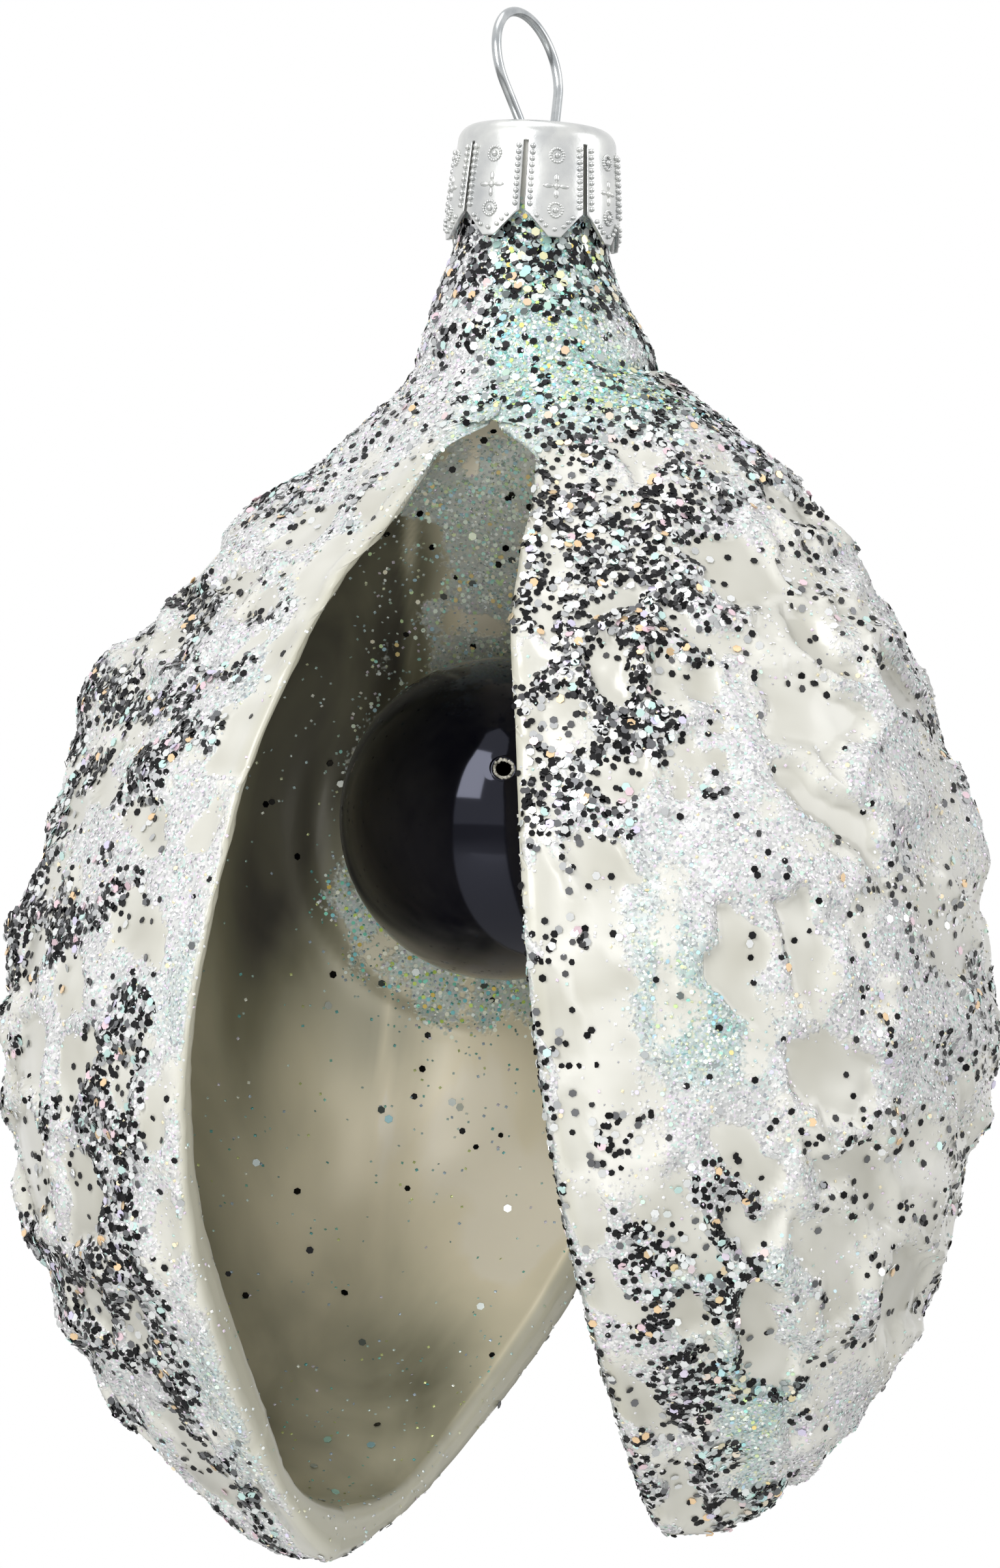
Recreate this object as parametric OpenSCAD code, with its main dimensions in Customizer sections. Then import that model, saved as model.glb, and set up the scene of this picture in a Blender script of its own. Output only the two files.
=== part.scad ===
// Hanging glass ornament: an open oyster shell with a black pearl inside.
// Two cupped shell valves hang from a flared glass neck, which carries a stamped
// metal crown cap and a sprung wire loop. The origin is the top of the loop's eye.

/* [Hanger wire] */
// Diameter of the wire
wire_d = 0.7; // [0.5:0.05:0.9]
// Radius of the loop, to the middle of the wire
loop_r = 4.0; // [3:0.1:5]
// Height of the loop's lowest point above the cap, if its circle were whole
loop_foot = 0.6; // [0.2:0.1:1.5]
// Distance between the two legs where they pass the cap
leg_spacing = 4.3; // [3.4:0.1:5]
// Length of each leg below the cap
leg_length = 7.4; // [5:0.1:8.5]
// Outward lean of each leg below the cap, in degrees
leg_splay = 5.5; // [2:0.5:8]
// Sideways lean of the loop on its two holes, in degrees
loop_lean = 14; // [0:1:16]
// Turn of the loop about the neck, in degrees
loop_turn = 58; // [0:1:90]

/* [Crown cap] */
// Outer radius of the cap just below its shoulder
cap_r = 5.6; // [5:0.1:7]
// How much further out the petal tips stand
cap_flare = 0.6; // [0.3:0.1:1]
// Height of the cap from its top to the petal tips
cap_height = 8.4; // [7:0.1:10]
// Thickness of the sheet
cap_wall = 0.3; // [0.25:0.05:0.4]
// Radius of the rounded shoulder
shoulder_r = 1.3; // [0.8:0.1:2]
// Number of petals
petals = 8; // [6:1:10]
// Width of the slit between two petals
slit_w = 0.35; // [0.2:0.05:0.6]
// Distance from the cap's top to the start of the slits
slit_drop = 1.6; // [1.4:0.1:3]
// Length of the tapered end of each petal
tip_length = 2.3; // [1.5:0.1:3]
// Width of the blunt end of each petal
tip_w = 0.5; // [0.3:0.1:1]
// Turn of the slits about the neck, in degrees
slit_turn = -8; // [-22:1:22]
// Free play of a leg in its hole, on the radius
hole_play = 0.2; // [0.18:0.01:0.3]

/* [Glass neck] */
// Free play between cap and neck, on the radius
neck_play = 0.3; // [0.2:0.05:0.5]
// Wall of the neck
neck_wall = 0.9; // [0.6:0.1:1.2]
// Length of the straight pipe under the cap
neck_straight = 6.2; // [5:0.1:8]
// Distance from the cap's top to the bottom of the flare
neck_drop = 20.8; // [17:0.1:25]
// Radius at the bottom of the flare
flare_r = 12.4; // [10.5:0.1:15]
// Curve of the flare: 1 is a cone, more starts narrower
flare_power = 1.75; // [1:0.05:2.5]

/* [Shell valves] */
// Length of the left valve
left_length = 84; // [68:0.1:102]
// Length of the right valve
right_length = 81; // [66:0.1:99]
// Half the width of each valve's rim
rim_half = 28; // [23:0.5:34]
// How far the left valve bulges out from its rim
left_depth = 32; // [26:0.5:39]
// How far the right valve bulges out from its rim
right_depth = 26; // [21:0.5:32]
// Turn of the left rim away from front to back, in degrees
left_yaw = 36; // [30:1:43]
// Turn of the right rim away from front to back, in degrees
right_yaw = 12.5; // [8:0.5:15]
// Sideways spread of the left valve for each unit of drop
left_spread = 0.131; // [0.1:0.005:0.2]
// Sideways spread of the right valve for each unit of drop
right_spread = 0.141; // [0.1:0.005:0.2]
// Distance between the valves' centre lines under the neck
hinge_gap = 0.8; // [0.5:0.1:3]
// Sideways place of the hinge from the neck's axis
hinge_x = 2.3; // [0:0.05:4]
// Place of the valves behind the neck's axis
hinge_y = -2.8; // [-4:0.1:4]
// How far the valves' outline would run up inside the flare
hinge_lap = 3.3; // [2:0.1:5]
// Wall of each valve
valve_wall = 1.8; // [1.4:0.1:2.4]
// Thickness of the lip at the bottom of each valve
tip_wall = 3.5; // [2.5:0.1:5]
// Gap left along each fused seam of the glass
seam_gap = 0.05; // [0.02:0.01:0.1]

/* [Pearl] */
// Diameter of the pearl
pearl_d = 23; // [18:0.5:28]
// Distance from the cap's top to the middle of the pearl
pearl_drop = 48.4; // [42:0.1:58]
// Bearing of the pearl from the hinge side of the left rim, in degrees
pearl_bearing = 25.5; // [15:1:35]
// Wall of the hollow pearl
pearl_wall = 1.0; // [0.7:0.1:1.5]
// Diameter of the pearl's blowing hole
pearl_hole_d = 1.4; // [1:0.1:2]
// Upward tilt of the blowing hole, in degrees
pearl_hole_tilt = 14; // [0:1:30]
// Thickness of the glue between pearl and valve
glue_t = 1.0; // [0.6:0.1:1.5]
// Half angle of the glue's cup around the pearl, in degrees
glue_spread = 42; // [25:1:60]

/* [Hidden] */

// Colours
steel = "silver";
sheet_metal = "gainsboro";
pearl_white = "whitesmoke";
black_glass = "black";
glue_green = "mediumaquamarine";

// Smoothness of round parts
round_steps = 48;
flare_steps = 14;
shoulder_steps = 6;
cup_steps = 8;

// Facets of a valve along its length and around its bulge
valve_rows = 42;
valve_cols = 22;

// Hanger wire, in its own upright plane, from the middle of the cap's top sheet
wire_r = wire_d / 2;
leg_x = leg_spacing / 2;
wire_swell = 1.03;
pivot_drop = cap_wall / 2;
loop_up = loop_r + loop_foot + pivot_drop;
// The upper leg is the tangent from its hole to the loop's circle
tangent_turn = acos(loop_r / norm([leg_x, loop_up])) - atan2(loop_up, leg_x);
loop_x = loop_r * cos(tangent_turn);
loop_z = loop_up + loop_r * sin(tangent_turn);
leg_end = [leg_x + leg_length * sin(leg_splay), -leg_length * cos(leg_splay)];
eye_up = loop_up + loop_r - wire_r;
// The eye's top, moved by the loop's lean, is the origin
eye = [-eye_up * sin(loop_lean) * sin(loop_turn),
       eye_up * sin(loop_lean) * cos(loop_turn),
       eye_up * cos(loop_lean) - pivot_drop];

// Neck, measured down from the cap's top
neck_r = cap_r - cap_wall - neck_play;
bore_r = neck_r - neck_wall;
neck_top = shoulder_r;
petal_w = 2 * PI * (cap_r + cap_flare) / petals;

// Valves: their outline starts inside the flare and is cut off level with its bottom
hinge_drop = neck_drop - hinge_lap;
top_wall = valve_wall;
left = [-1, left_length, left_depth, left_yaw, left_spread];
right = [1, right_length, right_depth, right_yaw, right_spread];

// Where along its length a valve is widest and deepest: over 1 is nearer the tip
outline_low = 1.12;
swell_low = 0.88;
// How pointed the outline is at its two ends, and the bulge at both: 1 is a pointed arch
hinge_point = 0.5;
tip_point = 0.77;
swell_point = 0.48;
// The rows of a valve stop just short of its very tip, where its width would be nothing
last_row = 0.996;

// One valve is [side, length, depth, yaw, spread]
function side(v) = v[0];
function yaw_dir(v) = [sin(v[3]), cos(v[3])];
function out_dir(v) = side(v) * [cos(v[3]), -sin(v[3])];
function mid_line(v, drop) =
    [hinge_x + side(v) * (hinge_gap / 2 + v[4] * (drop - hinge_drop)), hinge_y];

// Outline of the rim and swell of the bulge, from 0 at the hinge to 1 at the tip
function outline(t) = pow(sin(180 * pow(t, outline_low)), hinge_point + (tip_point - hinge_point) * t);
function swell(t) = pow(sin(180 * pow(t, swell_low)), swell_point);

// How far a place in plan stands outside a valve's rim
function beyond(v, drop, p) = (p - mid_line(v, drop)) * out_dir(v);
function other(v) = side(v) < 0 ? right : left;
// More than zero on the valve's own side of the seam between the two valves
function own_side(v, drop, p) = beyond(v, drop, p) - beyond(other(v), drop, p) - 2 * seam_gap;

// A place on the bulge at one drop, half width and depth; 0 degrees is the front rim
function bulge(v, drop, half, depth, w) =
    mid_line(v, drop) - half * cos(w) * yaw_dir(v) + depth * sin(w) * out_dir(v);
// The angle of the back edge: the rim at 180 degrees, or the seam if that comes first
function back_edge(v, drop, half, depth, low = 90, high = 180, n = 14) =
    own_side(v, drop, bulge(v, drop, half, depth, 180)) >= 0 ? 180 :
    n == 0 ? low :
    let (mid = (low + high) / 2)
    own_side(v, drop, bulge(v, drop, half, depth, mid)) >= 0
        ? back_edge(v, drop, half, depth, mid, high, n - 1)
        : back_edge(v, drop, half, depth, low, mid, n - 1);

// Rows of points over one skin of a valve; inset is the skin's distance inside the outer one
function skin(v, inset, start, end, first) = [
    for (i = [0:valve_rows])
    let (t = first + (last_row - first) * (1 - cos(180 * i / valve_rows)) / 2,
         drop = start + (end - start) * t,
         half = (rim_half - inset) * outline(t),
         depth = (v[2] - inset) * swell(t),
         back = back_edge(v, drop, half, depth))
    for (j = [0:valve_cols])
    let (p = bulge(v, drop, half, depth, back * j / valve_cols))
    [p.x, p.y, -drop]
];

function cut_start(v) = (hinge_lap + seam_gap) / v[1];
function valve_points(v) = concat(
    skin(v, 0, hinge_drop, hinge_drop + v[1], cut_start(v)),
    skin(v, valve_wall, hinge_drop + top_wall, hinge_drop + v[1] - tip_wall, cut_start(v)));

// Faces of a valve: two skins, the lip that joins them, and a small flat at each end
function valve_faces() =
    let (m = valve_cols + 1, k = m * (valve_rows + 1), top = 0, end = m * valve_rows)
    concat(
        [for (i = [0:valve_rows - 1], j = [0:valve_cols - 1]) each grid(i * m + j, m)],
        [for (i = [0:valve_rows - 1], j = [0:valve_cols - 1]) each flip(grid(k + i * m + j, m))],
        [for (i = [0:valve_rows - 1]) each strip(i * m, k + i * m, m)],
        [for (i = [0:valve_rows - 1]) each flip(strip(i * m + m - 1, k + i * m + m - 1, m))],
        fan(top, m), flip(fan(k + top, m)), flip(fan(end, m)), fan(k + end, m),
        flip(strip(top, k + top, m - 1)), strip(end, k + end, m - 1));
function grid(a, m) = [[a, a + 1, a + m], [a + 1, a + m + 1, a + m]];
function strip(a, b, m) = [[a, a + m, b + m], [a, b + m, b]];
function fan(a, m) = [for (j = [1:m - 2]) [a, a + j + 1, a + j]];
function flip(faces) = [for (f = faces) [f[2], f[1], f[0]]];

// The pearl lies against the left valve's inner skin, a glue's thickness away
pearl_r = pearl_d / 2;
pearl_t = (pearl_drop - hinge_drop - top_wall) / (left_length - top_wall - tip_wall);
seat_half = (rim_half - valve_wall) * outline(pearl_t);
seat_depth = (left_depth - valve_wall) * swell(pearl_t);
seat_reach = 1 / norm([cos(pearl_bearing) / seat_half, sin(pearl_bearing) / seat_depth]);
seat_dir = cos(pearl_bearing) * yaw_dir(left) + sin(pearl_bearing) * out_dir(left);
left_inner = skin(left, valve_wall, hinge_drop + top_wall, hinge_drop + left_length - tip_wall,
                  cut_start(left));
function pearl_at(out) =
    let (p = mid_line(left, pearl_drop) + out * seat_dir) [p.x, p.y, -pearl_drop];
function wall_gap(place) = min([for (q = left_inner) norm(q - place)]) - pearl_r;
// Slide the pearl along its bearing until its nearest gap to the wall is the glue's thickness
function settle(out, n = 6) = n == 0 ? out : settle(out + wall_gap(pearl_at(out)) - glue_t, n - 1);
pearl_middle = pearl_at(settle(seat_reach - pearl_r - glue_t));
nearest_gap = wall_gap(pearl_middle);
seat_point = [for (q = left_inner) if (norm(q - pearl_middle) - pearl_r <= nearest_gap) q][0];

module at_cap() {
    translate(-eye) children();
}

module wire_bar(from, to) {
    reach = to - from;
    translate([from.x, 0, from.y])
        rotate([0, atan2(reach.x, reach.y), 0])
        cylinder(h = norm(reach), r = wire_r, $fn = round_steps);
}

module wire_ball(place, r = wire_r) {
    translate([place.x, 0, place.y]) sphere(r = r, $fn = round_steps);
}

// One leg: a slight swelling where it meets the loop and where it bends at the cap, a round end
module wire_leg() {
    hole = [leg_x, 0];
    shoulder = [loop_x, loop_z];
    wire_bar(hole, shoulder);
    wire_bar(leg_end, hole);
    wire_ball(shoulder, wire_r * wire_swell);
    wire_ball(hole, wire_r * wire_swell);
    wire_ball(leg_end);
}

module hanger_wire() {
    color(steel) at_cap() rotate([0, 0, loop_turn]) translate([0, 0, -pivot_drop])
        rotate([-loop_lean, 0, 0]) {
            translate([0, 0, loop_up]) rotate([90, 0, 0]) rotate([0, 0, tangent_turn])
                rotate_extrude(angle = 180 - 2 * tangent_turn, $fn = 2 * round_steps)
                translate([loop_r, 0]) circle(r = wire_r, $fn = round_steps);
            wire_leg();
            mirror([1, 0, 0]) wire_leg();
        }
}

function reverse(list) = [for (i = [len(list) - 1:-1:0]) list[i]];

// Half outline of the cap's sheet, given as its outer or inner side
function cap_line(inset) = concat(
    [[0, -inset]],
    [for (i = [0:shoulder_steps])
        let (a = 90 * (1 - i / shoulder_steps))
        [cap_r - shoulder_r + (shoulder_r - inset) * cos(a), -shoulder_r + (shoulder_r - inset) * sin(a)]],
    [[cap_r + cap_flare - inset, -cap_height]]);

// One slit between two petals: narrow above, then opening so that the petals come to points
module slit() {
    half = slit_w / 2;
    open = (petal_w - tip_w) / 2;
    below = tip_length / 4;
    rotate([90, 0, 0]) translate([0, 0, cap_r / 2]) linear_extrude(cap_r) polygon([
        [-half, -slit_drop], [half, -slit_drop],
        [half, tip_length - cap_height], [open, -cap_height], [open, -cap_height - below],
        [-open, -cap_height - below], [-open, -cap_height], [-half, tip_length - cap_height]]);
}

module leg_holes() {
    rotate([0, 0, loop_turn]) for (s = [-1, 1]) translate([s * leg_x, 0, -2 * cap_wall])
        cylinder(h = 3 * cap_wall, r = wire_r + hole_play, $fn = round_steps);
}

module crown_cap() {
    color(sheet_metal) at_cap() difference() {
        rotate_extrude($fn = round_steps)
            polygon(concat(cap_line(0), reverse(cap_line(cap_wall))));
        for (i = [0:petals - 1]) rotate([0, 0, slit_turn + 360 * i / petals]) slit();
        leg_holes();
    }
}
// Radius of the flare at each step, from the pipe's end to the bottom
function flare_line(inset, bottom) = [
    for (i = [0:flare_steps])
    let (u = i / flare_steps)
    [neck_r - inset + (flare_r - neck_r) * pow(u, flare_power),
     -neck_straight - (bottom - neck_straight) * u]
];

module neck() {
    color(pearl_white) at_cap() rotate_extrude($fn = round_steps)
        polygon(concat(
            [[neck_r, -neck_top]], flare_line(0, neck_drop), [[0, -neck_drop]],
            [[0, neck_wall - neck_drop]], reverse(flare_line(neck_wall, neck_drop - neck_wall)),
            [[bore_r, -neck_top]]));
}

module valve(v) {
    at_cap() polyhedron(
        points = valve_points(v),
        faces = side(v) > 0 ? valve_faces() : flip(valve_faces()));
}

module left_valve() {
    color(pearl_white) valve(left);
}

module right_valve() {
    color(pearl_white) valve(right);
}

module at_pearl() {
    at_cap() translate(pearl_middle) children();
}

module pearl() {
    color(black_glass) at_pearl() difference() {
        sphere(r = pearl_r, $fn = round_steps);
        sphere(r = pearl_r - pearl_wall, $fn = round_steps);
        rotate([90 - pearl_hole_tilt, 0, 0])
            cylinder(h = pearl_d, r = pearl_hole_d / 2, $fn = round_steps);
    }
}

// One side of the glue's cup, as half an outline at a radius that shrinks towards its edge
function cup_line(middle, edge) = [
    for (i = [0:cup_steps])
    let (u = i / cup_steps, a = glue_spread * u)
    (middle + (edge - middle) * u) * [sin(a), cos(a)]
];

module glitter_glue() {
    reach = seat_point - pearl_middle;
    inner = pearl_r + seam_gap;
    outer = pearl_r + glue_t - 2 * seam_gap;
    color(glue_green) at_pearl()
        rotate([0, acos(reach.z / norm(reach)), atan2(reach.y, reach.x)])
        rotate_extrude($fn = round_steps)
        polygon(concat(cup_line(inner, inner), reverse(cup_line(outer, inner + glue_t / 4))));
}

hanger_wire();
crown_cap();
neck();
left_valve();
right_valve();
pearl();
glitter_glue();
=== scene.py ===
"""Oyster shell hanging ornament: a blown glass shell, half open on a black glass pearl."""

import math

import bmesh
import bpy
import numpy as np
from mathutils import Matrix, Vector
from mathutils.geometry import tessellate_polygon


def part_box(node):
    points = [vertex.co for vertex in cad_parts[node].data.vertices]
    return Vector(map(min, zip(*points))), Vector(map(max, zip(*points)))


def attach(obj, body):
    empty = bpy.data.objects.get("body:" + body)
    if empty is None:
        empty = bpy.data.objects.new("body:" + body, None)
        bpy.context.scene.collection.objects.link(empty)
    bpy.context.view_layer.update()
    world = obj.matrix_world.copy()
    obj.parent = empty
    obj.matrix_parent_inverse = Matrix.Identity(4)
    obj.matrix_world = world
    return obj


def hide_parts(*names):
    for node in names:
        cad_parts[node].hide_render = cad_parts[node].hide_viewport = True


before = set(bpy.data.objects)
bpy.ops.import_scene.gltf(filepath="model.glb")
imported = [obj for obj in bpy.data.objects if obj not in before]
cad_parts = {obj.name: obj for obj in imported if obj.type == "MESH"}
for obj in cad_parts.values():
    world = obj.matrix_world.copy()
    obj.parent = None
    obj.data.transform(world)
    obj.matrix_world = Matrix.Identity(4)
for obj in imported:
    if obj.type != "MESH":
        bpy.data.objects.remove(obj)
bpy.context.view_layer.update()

MM = 0.001
LEFT = -1
RIGHT = 1

# Hanger wire, mm
WIRE_R = 0.35
LOOP_R = 4.0
LOOP_FOOT = 0.6
LEG_X = 2.15
LEG_LENGTH = 7.4
LEG_SPLAY = 5.5
LEG_STEPS = 14
SHOULDER_STEPS = 10
LOOP_STEPS = 57
WIRE_SIDES = 20
LOOP_LEAN = 14.0
LOOP_TURN = 58.0
PIVOT_DROP = 0.15

# Crown cap, mm
CAP_R = 5.6
CAP_FLARE = 0.6
CAP_HEIGHT = 8.4
CAP_WALL = 0.3
SHOULDER_R = 1.3
PETALS = 8
SLIT_W = 0.35
SLIT_DROP = 1.6
SLIT_TURN = -98.0
TIP_LENGTH = 1.8
TIP_W = 0.9
HOLE_R = 0.55
BEAD_INSET = 0.36
CAP_EDGE = 0.07
PETAL_COLUMNS = 16
PETAL_PUFF = 0.12
PUFF_LENGTH = 6

# Raised beads on a petal, mm: each has its half width, half height and how far it stands
EDGE_BEAD = (0.21, 0.21, 0.18)
TIP_BEAD = (0.17, 0.17, 0.15)
MIDDLE_BEAD = (0.24, 0.24, 0.2)
RING_BEAD = (0.12, 0.12, 0.12)
FLAT_BAR = (0.4, 0.18, 0.16)
UPRIGHT_BAR = (0.18, 0.36, 0.16)
EDGE_PITCH = 0.46
TIP_PITCH = 0.34
RING_R = 0.5
RING_BEADS = 16
RING_DROPS = (2.6, 6.5)
CROSS_DROP = 4.8
CROSS_BARS = ((-0.6, 0, FLAT_BAR), (0.6, 0, FLAT_BAR), (0, -0.56, UPRIGHT_BAR),
              (0, 0.56, UPRIGHT_BAR))

# Blown glass shell, mm and degrees; a drop is measured down from the cap's top. BLEND has the
# drops between which the round neck becomes a valve: along the rims and seams (0), and half
# way round each half. The hollow's lower end is wider than its outline by TIP_ROUND, which
# dies away over TIP_REACH
NECK_R = 5.0
NECK_WALL = 0.9
NECK_TOP = 1.3
NECK_STRAIGHT = 6.2
NECK_DROP = 20.8
FLARE_R = 12.4
FLARE_POWER = 1.75
CONE_SLOPE = 0.45
NECK_DRIFT = 2.1
DRIFT_DROPS = (11.0, 21.0)
BLEND = {LEFT: (16.0, 30.0), 0: (14.5, 28.0), RIGHT: (13.5, 25.0)}
HINGE_X = 2.3
HINGE_Y = -2.8
HINGE_GAP = 0.8
HINGE_DROP = 17.5
RIM_HALF = 28.0
VALVE_WALL = 1.8
TOP_WALL = 1.8
TIP_WALL = 3.5
TIP_ROUND = 1.5
TIP_REACH = 2.5
HOLLOW_INSET = 1.3
ROOF_RISE = 3.6
RIM_THINNING = 0.72
LIP_BULGE = 0.42
LIP_MOST = 0.55
SEAM_GAP = 0.1
DEEPEST = 1.0
ARCH_DROP = 22.2
ARCH_RISE = 1.1
ARCH_OPEN = {LEFT: 21.0, RIGHT: 20.0}
VAULT_DROP = 18.3
VAULT_RISE = 4.0
MEAN_YAW = 24.25

# Rims and cups: powers over 1 put the widest place lower, small powers blunt the ends
RIM_LOW = 1.12
RIM_BLUNT = (0.5, 0.27)
CUP_LOW = 0.88
CUP_BLUNT = 0.48
VALVES = {
    LEFT: dict(length=84.0, depth=32.0, yaw=36.0, spread=0.131),
    RIGHT: dict(length=81.0, depth=26.0, yaw=12.5, spread=0.141),
}

# Pearl and its glue, mm and degrees
PEARL_R = 11.5
PEARL_WALL = 1.0
PEARL_HOLE_R = 0.7
PEARL_HOLE_TILT = 14.0
PEARL_ROWS = 90
PEARL_SIDES = 128
RING_STEPS = 7
GLUE_SIDES = 96
GLUE_STEPS = 13
GLUE_SPREAD = 40

# How finely the shell's walls are divided
SHELL_ROWS = 190
OUTER_COLUMNS = 210
INNER_COLUMNS = 150
NECK_COLUMNS = 110
LIP_STEPS = 5

# The worked skin: pocket heights in mm and their growth with the drop, how much rougher each
# half gets towards its back, and the pocket depths from which big flakes slid off
POCKET_TALL = {LEFT: 3.4, RIGHT: 2.9}
POCKET_GROWTH = 0.022
ROUGHER = {LEFT: 0.45, RIGHT: 0.7}
SWEPT = {LEFT: (0.35, 0.8), RIGHT: (0.25, 0.6)}

# The aqua patch on the neck faces this far round to the right, degrees
AQUA_TURN = 20.0

# The neck's glitter gives way to each half's own down to this drop, mm
NECK_MASK_END = 27.0

# Painted light and shade on the silvered inside, from 0 dark to 1 light: its mean, then
# places of painted light and painted shade, each a gain and, in mm, its place right of the
# cap, its drop, half width and height
SILVER_PAINTED_LEVEL = 0.57
LIT_AND_SHADED_SPOTS = (
    (-0.76, -13, 40, 6.5, 15),
    (-0.3, -8.5, 29, 3.5, 8),
    (-0.28, -18, 58, 5, 12),
    (-0.15, -22, 74, 7, 20),
    (0.3, -2, 71, 8, 9),
    (0.12, 4, 78, 6, 12),
    (0.6, -0.5, 29, 4.5, 12),
    (-0.3, -7.7, 63.5, 4, 5),
    (-0.13, -12, 57, 4, 5),
    (-0.14, -5, 84, 5, 5),
    (-0.24, -5.9, 32, 2.6, 7),
)

# The mould seam and its painted highlight lie this far left of the cap's middle, mm
MOULD_LEFT = 7.4
MOULD_HALF = 0.48

SEED = 23

# Glitter on each glass part: flakes per square mm, radius mm, tilt degrees, stand-off mm, seed
HEXAGONS = {
    "neck": (6.2, 0.29, 16, 0.16, 3),
    "left": (5.2, 0.28, 20, 0.12, 5),
    "right": (6.4, 0.28, 20, 0.12, 7),
}
FINE_GLITTER = {
    "neck": (15.0, 0.15, 30, 0.05, 13),
    "left": (6.6, 0.13, 30, 0.05, 15),
    "right": (7.0, 0.13, 30, 0.05, 17),
}
BRIGHT_GLITTER = {
    "neck": (2.6, 0.17, 26, 0.1, 23),
    "left": (1.5, 0.16, 26, 0.08, 25),
    "right": (1.5, 0.16, 26, 0.08, 27),
}
FULL_TURN = 6.283

# Foils: the tints of plain flakes, then of those on aqua ground, roughness and metallic. A
# flake takes the tint whose place lies just under its own random number.
FOILS = {
    "hexagon": (
        [(0.0, "#0E0E11"), (0.7, "#6C6D70"), (0.76, "#B9BBBC"), (0.83, "#E5E7E7"),
         (0.935, "#F2D2A8"), (0.95, "#EED3DC"), (0.965, "#CDEBE6"), (0.985, "#DCD6EE")],
        [(0.0, "#0E0E11"), (0.7, "#6C7573"), (0.74, "#B4BFBE"), (0.81, "#E2EAE8"),
         (0.91, "#B4E4DA"), (0.945, "#E2E6B8"), (0.965, "#B0DCE6"), (0.985, "#F0D0A4")],
        0.22, 0.5),
    "fine": (
        [(0.0, "#B2B2B6"), (0.06, "#CFD0D2"), (0.3, "#DFDFE1"), (0.58, "#EEEDEF"),
         (0.77, "#C8E6DE"), (0.84, "#E8D8EA"), (0.9, "#F8F7F7"), (0.965, "#F0E6C4")],
        [(0.0, "#7B9A95"), (0.1, "#A2C2BA"), (0.32, "#C2D6D0"), (0.52, "#7CC0B1"),
         (0.64, "#C9D48C"), (0.74, "#A9BACB"), (0.84, "#D5D1DF"), (0.91, "#F0F5EA"),
         (0.96, "#5FB0B2")],
        0.25, 0.3),
    "bright_aqua": (
        [(0.0, "#F4F6F6"), (0.4, "#CFE9F2"), (0.6, "#E4DCF4"), (0.75, "#D6F2E2"),
         (0.9, "#F6E8C8")],
        [(0.0, "#F4FFFB"), (0.3, "#8FF0D6"), (0.5, "#D3F06A"), (0.64, "#86DCE6"),
         (0.76, "#FBFFF0"), (0.94, "#F3D66A")],
        0.3, 0.0),
}

# Lamps: place, height aimed at, width and height, all in metres, watts, seen in the shine
LAMPS = {
    "window_lamp": ((-0.345, -0.615, 0.31), -0.055, 0.4, 0.5, 4.5, True),
    "side_lamp": ((0.85, -0.1, 0.3), -0.05, 0.4, 0.6, 1.8, True),
    "top_lamp": ((-0.1, 0.1, 0.85), -0.05, 0.6, 0.6, 1.6, True),
    "front_fill": ((-0.06, -0.68, -0.33), -0.055, 0.4, 0.4, 1.35, False),
    "lens_fill": ((0.02, -0.7, -0.09), -0.055, 0.25, 0.25, 0.75, False),
}
ROOM_LEVEL = 0.38

# Floor, mm
FLOOR_R = 2500
FLOOR_Z = -420.0
FLOOR_SIDES = 96

# Camera: distance in metres, degrees, then mm on the ornament and on the sensor
VIEW_DISTANCE = 0.7
VIEW_TILT = -4
VIEW_ROLL = 3
VIEW_RIGHT = -0.26
VIEW_DROP = 46.4
VIEW_TALL = 110.77
SENSOR_W = 36.0


def node_middle(node):
    """The middle of a node's box, in mm."""
    low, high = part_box(node)
    return np.array((low + high) / 2) / MM


def cap_origin():
    """The middle of the cap's top, in mm; drops are measured from here."""
    middle = node_middle("crown_cap")
    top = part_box("crown_cap")[1].z / MM
    return np.array([middle[0], middle[1], top])


CAP = cap_origin()
PEARL = node_middle("pearl")


# ---------------------------------------------------------------- small helpers

def linear(hex_colour):
    """An sRGB hex colour as the linear RGBA that the shaders take."""
    values = [int(hex_colour[i:i + 2], 16) / 255 for i in (1, 3, 5)]
    out = [v / 12.92 if v <= 0.04045 else ((v + 0.055) / 1.055) ** 2.4 for v in values]
    return (*out, 1.0)


def smoothstep(low, high, x):
    """0 at low and 1 at high, with a soft start and end."""
    t = np.clip((x - low) / (high - low), 0, 1)
    return t * t * (3 - 2 * t)


def fade(low, high, x):
    """1 at low and 0 at high, the other way round from smoothstep."""
    return 1 - smoothstep(low, high, x)


def lattice(cells, seed):
    """A repeatable random number from 0 to 1 for each whole-number cell."""
    c = cells.astype(np.int64)
    h = c[..., 0] * 73856093 ^ c[..., 1] * 19349663 ^ c[..., 2] * 83492791 ^ (seed * 2654435761)
    h = (h ^ (h >> 13)) * 1274126177
    h = (h ^ (h >> 16)) & 0xFFFFFF
    return h / float(0xFFFFFF)


def noise(points, size, seed):
    """Smooth noise from -1 to 1 whose bumps are about size mm across."""
    p = points / size
    base = np.floor(p)
    f = p - base
    f = f * f * (3 - 2 * f)
    total = np.zeros(p.shape[:-1])
    for corner in np.ndindex(2, 2, 2):
        offset = np.array(corner)
        weight = np.prod(np.where(offset == 1, f, 1 - f), axis=-1)
        total += weight * lattice(base + offset, seed)
    return total * 2 - 1


def layered(points, *layers):
    """Noises of several sizes in one: each has a height, a size in mm and a seed."""
    return sum(height * noise(points, size, seed) for height, size, seed in layers)


def unit(v):
    """Each vector at length one."""
    return v / np.maximum(np.linalg.norm(v, axis=-1, keepdims=True), 1e-12)


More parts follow.
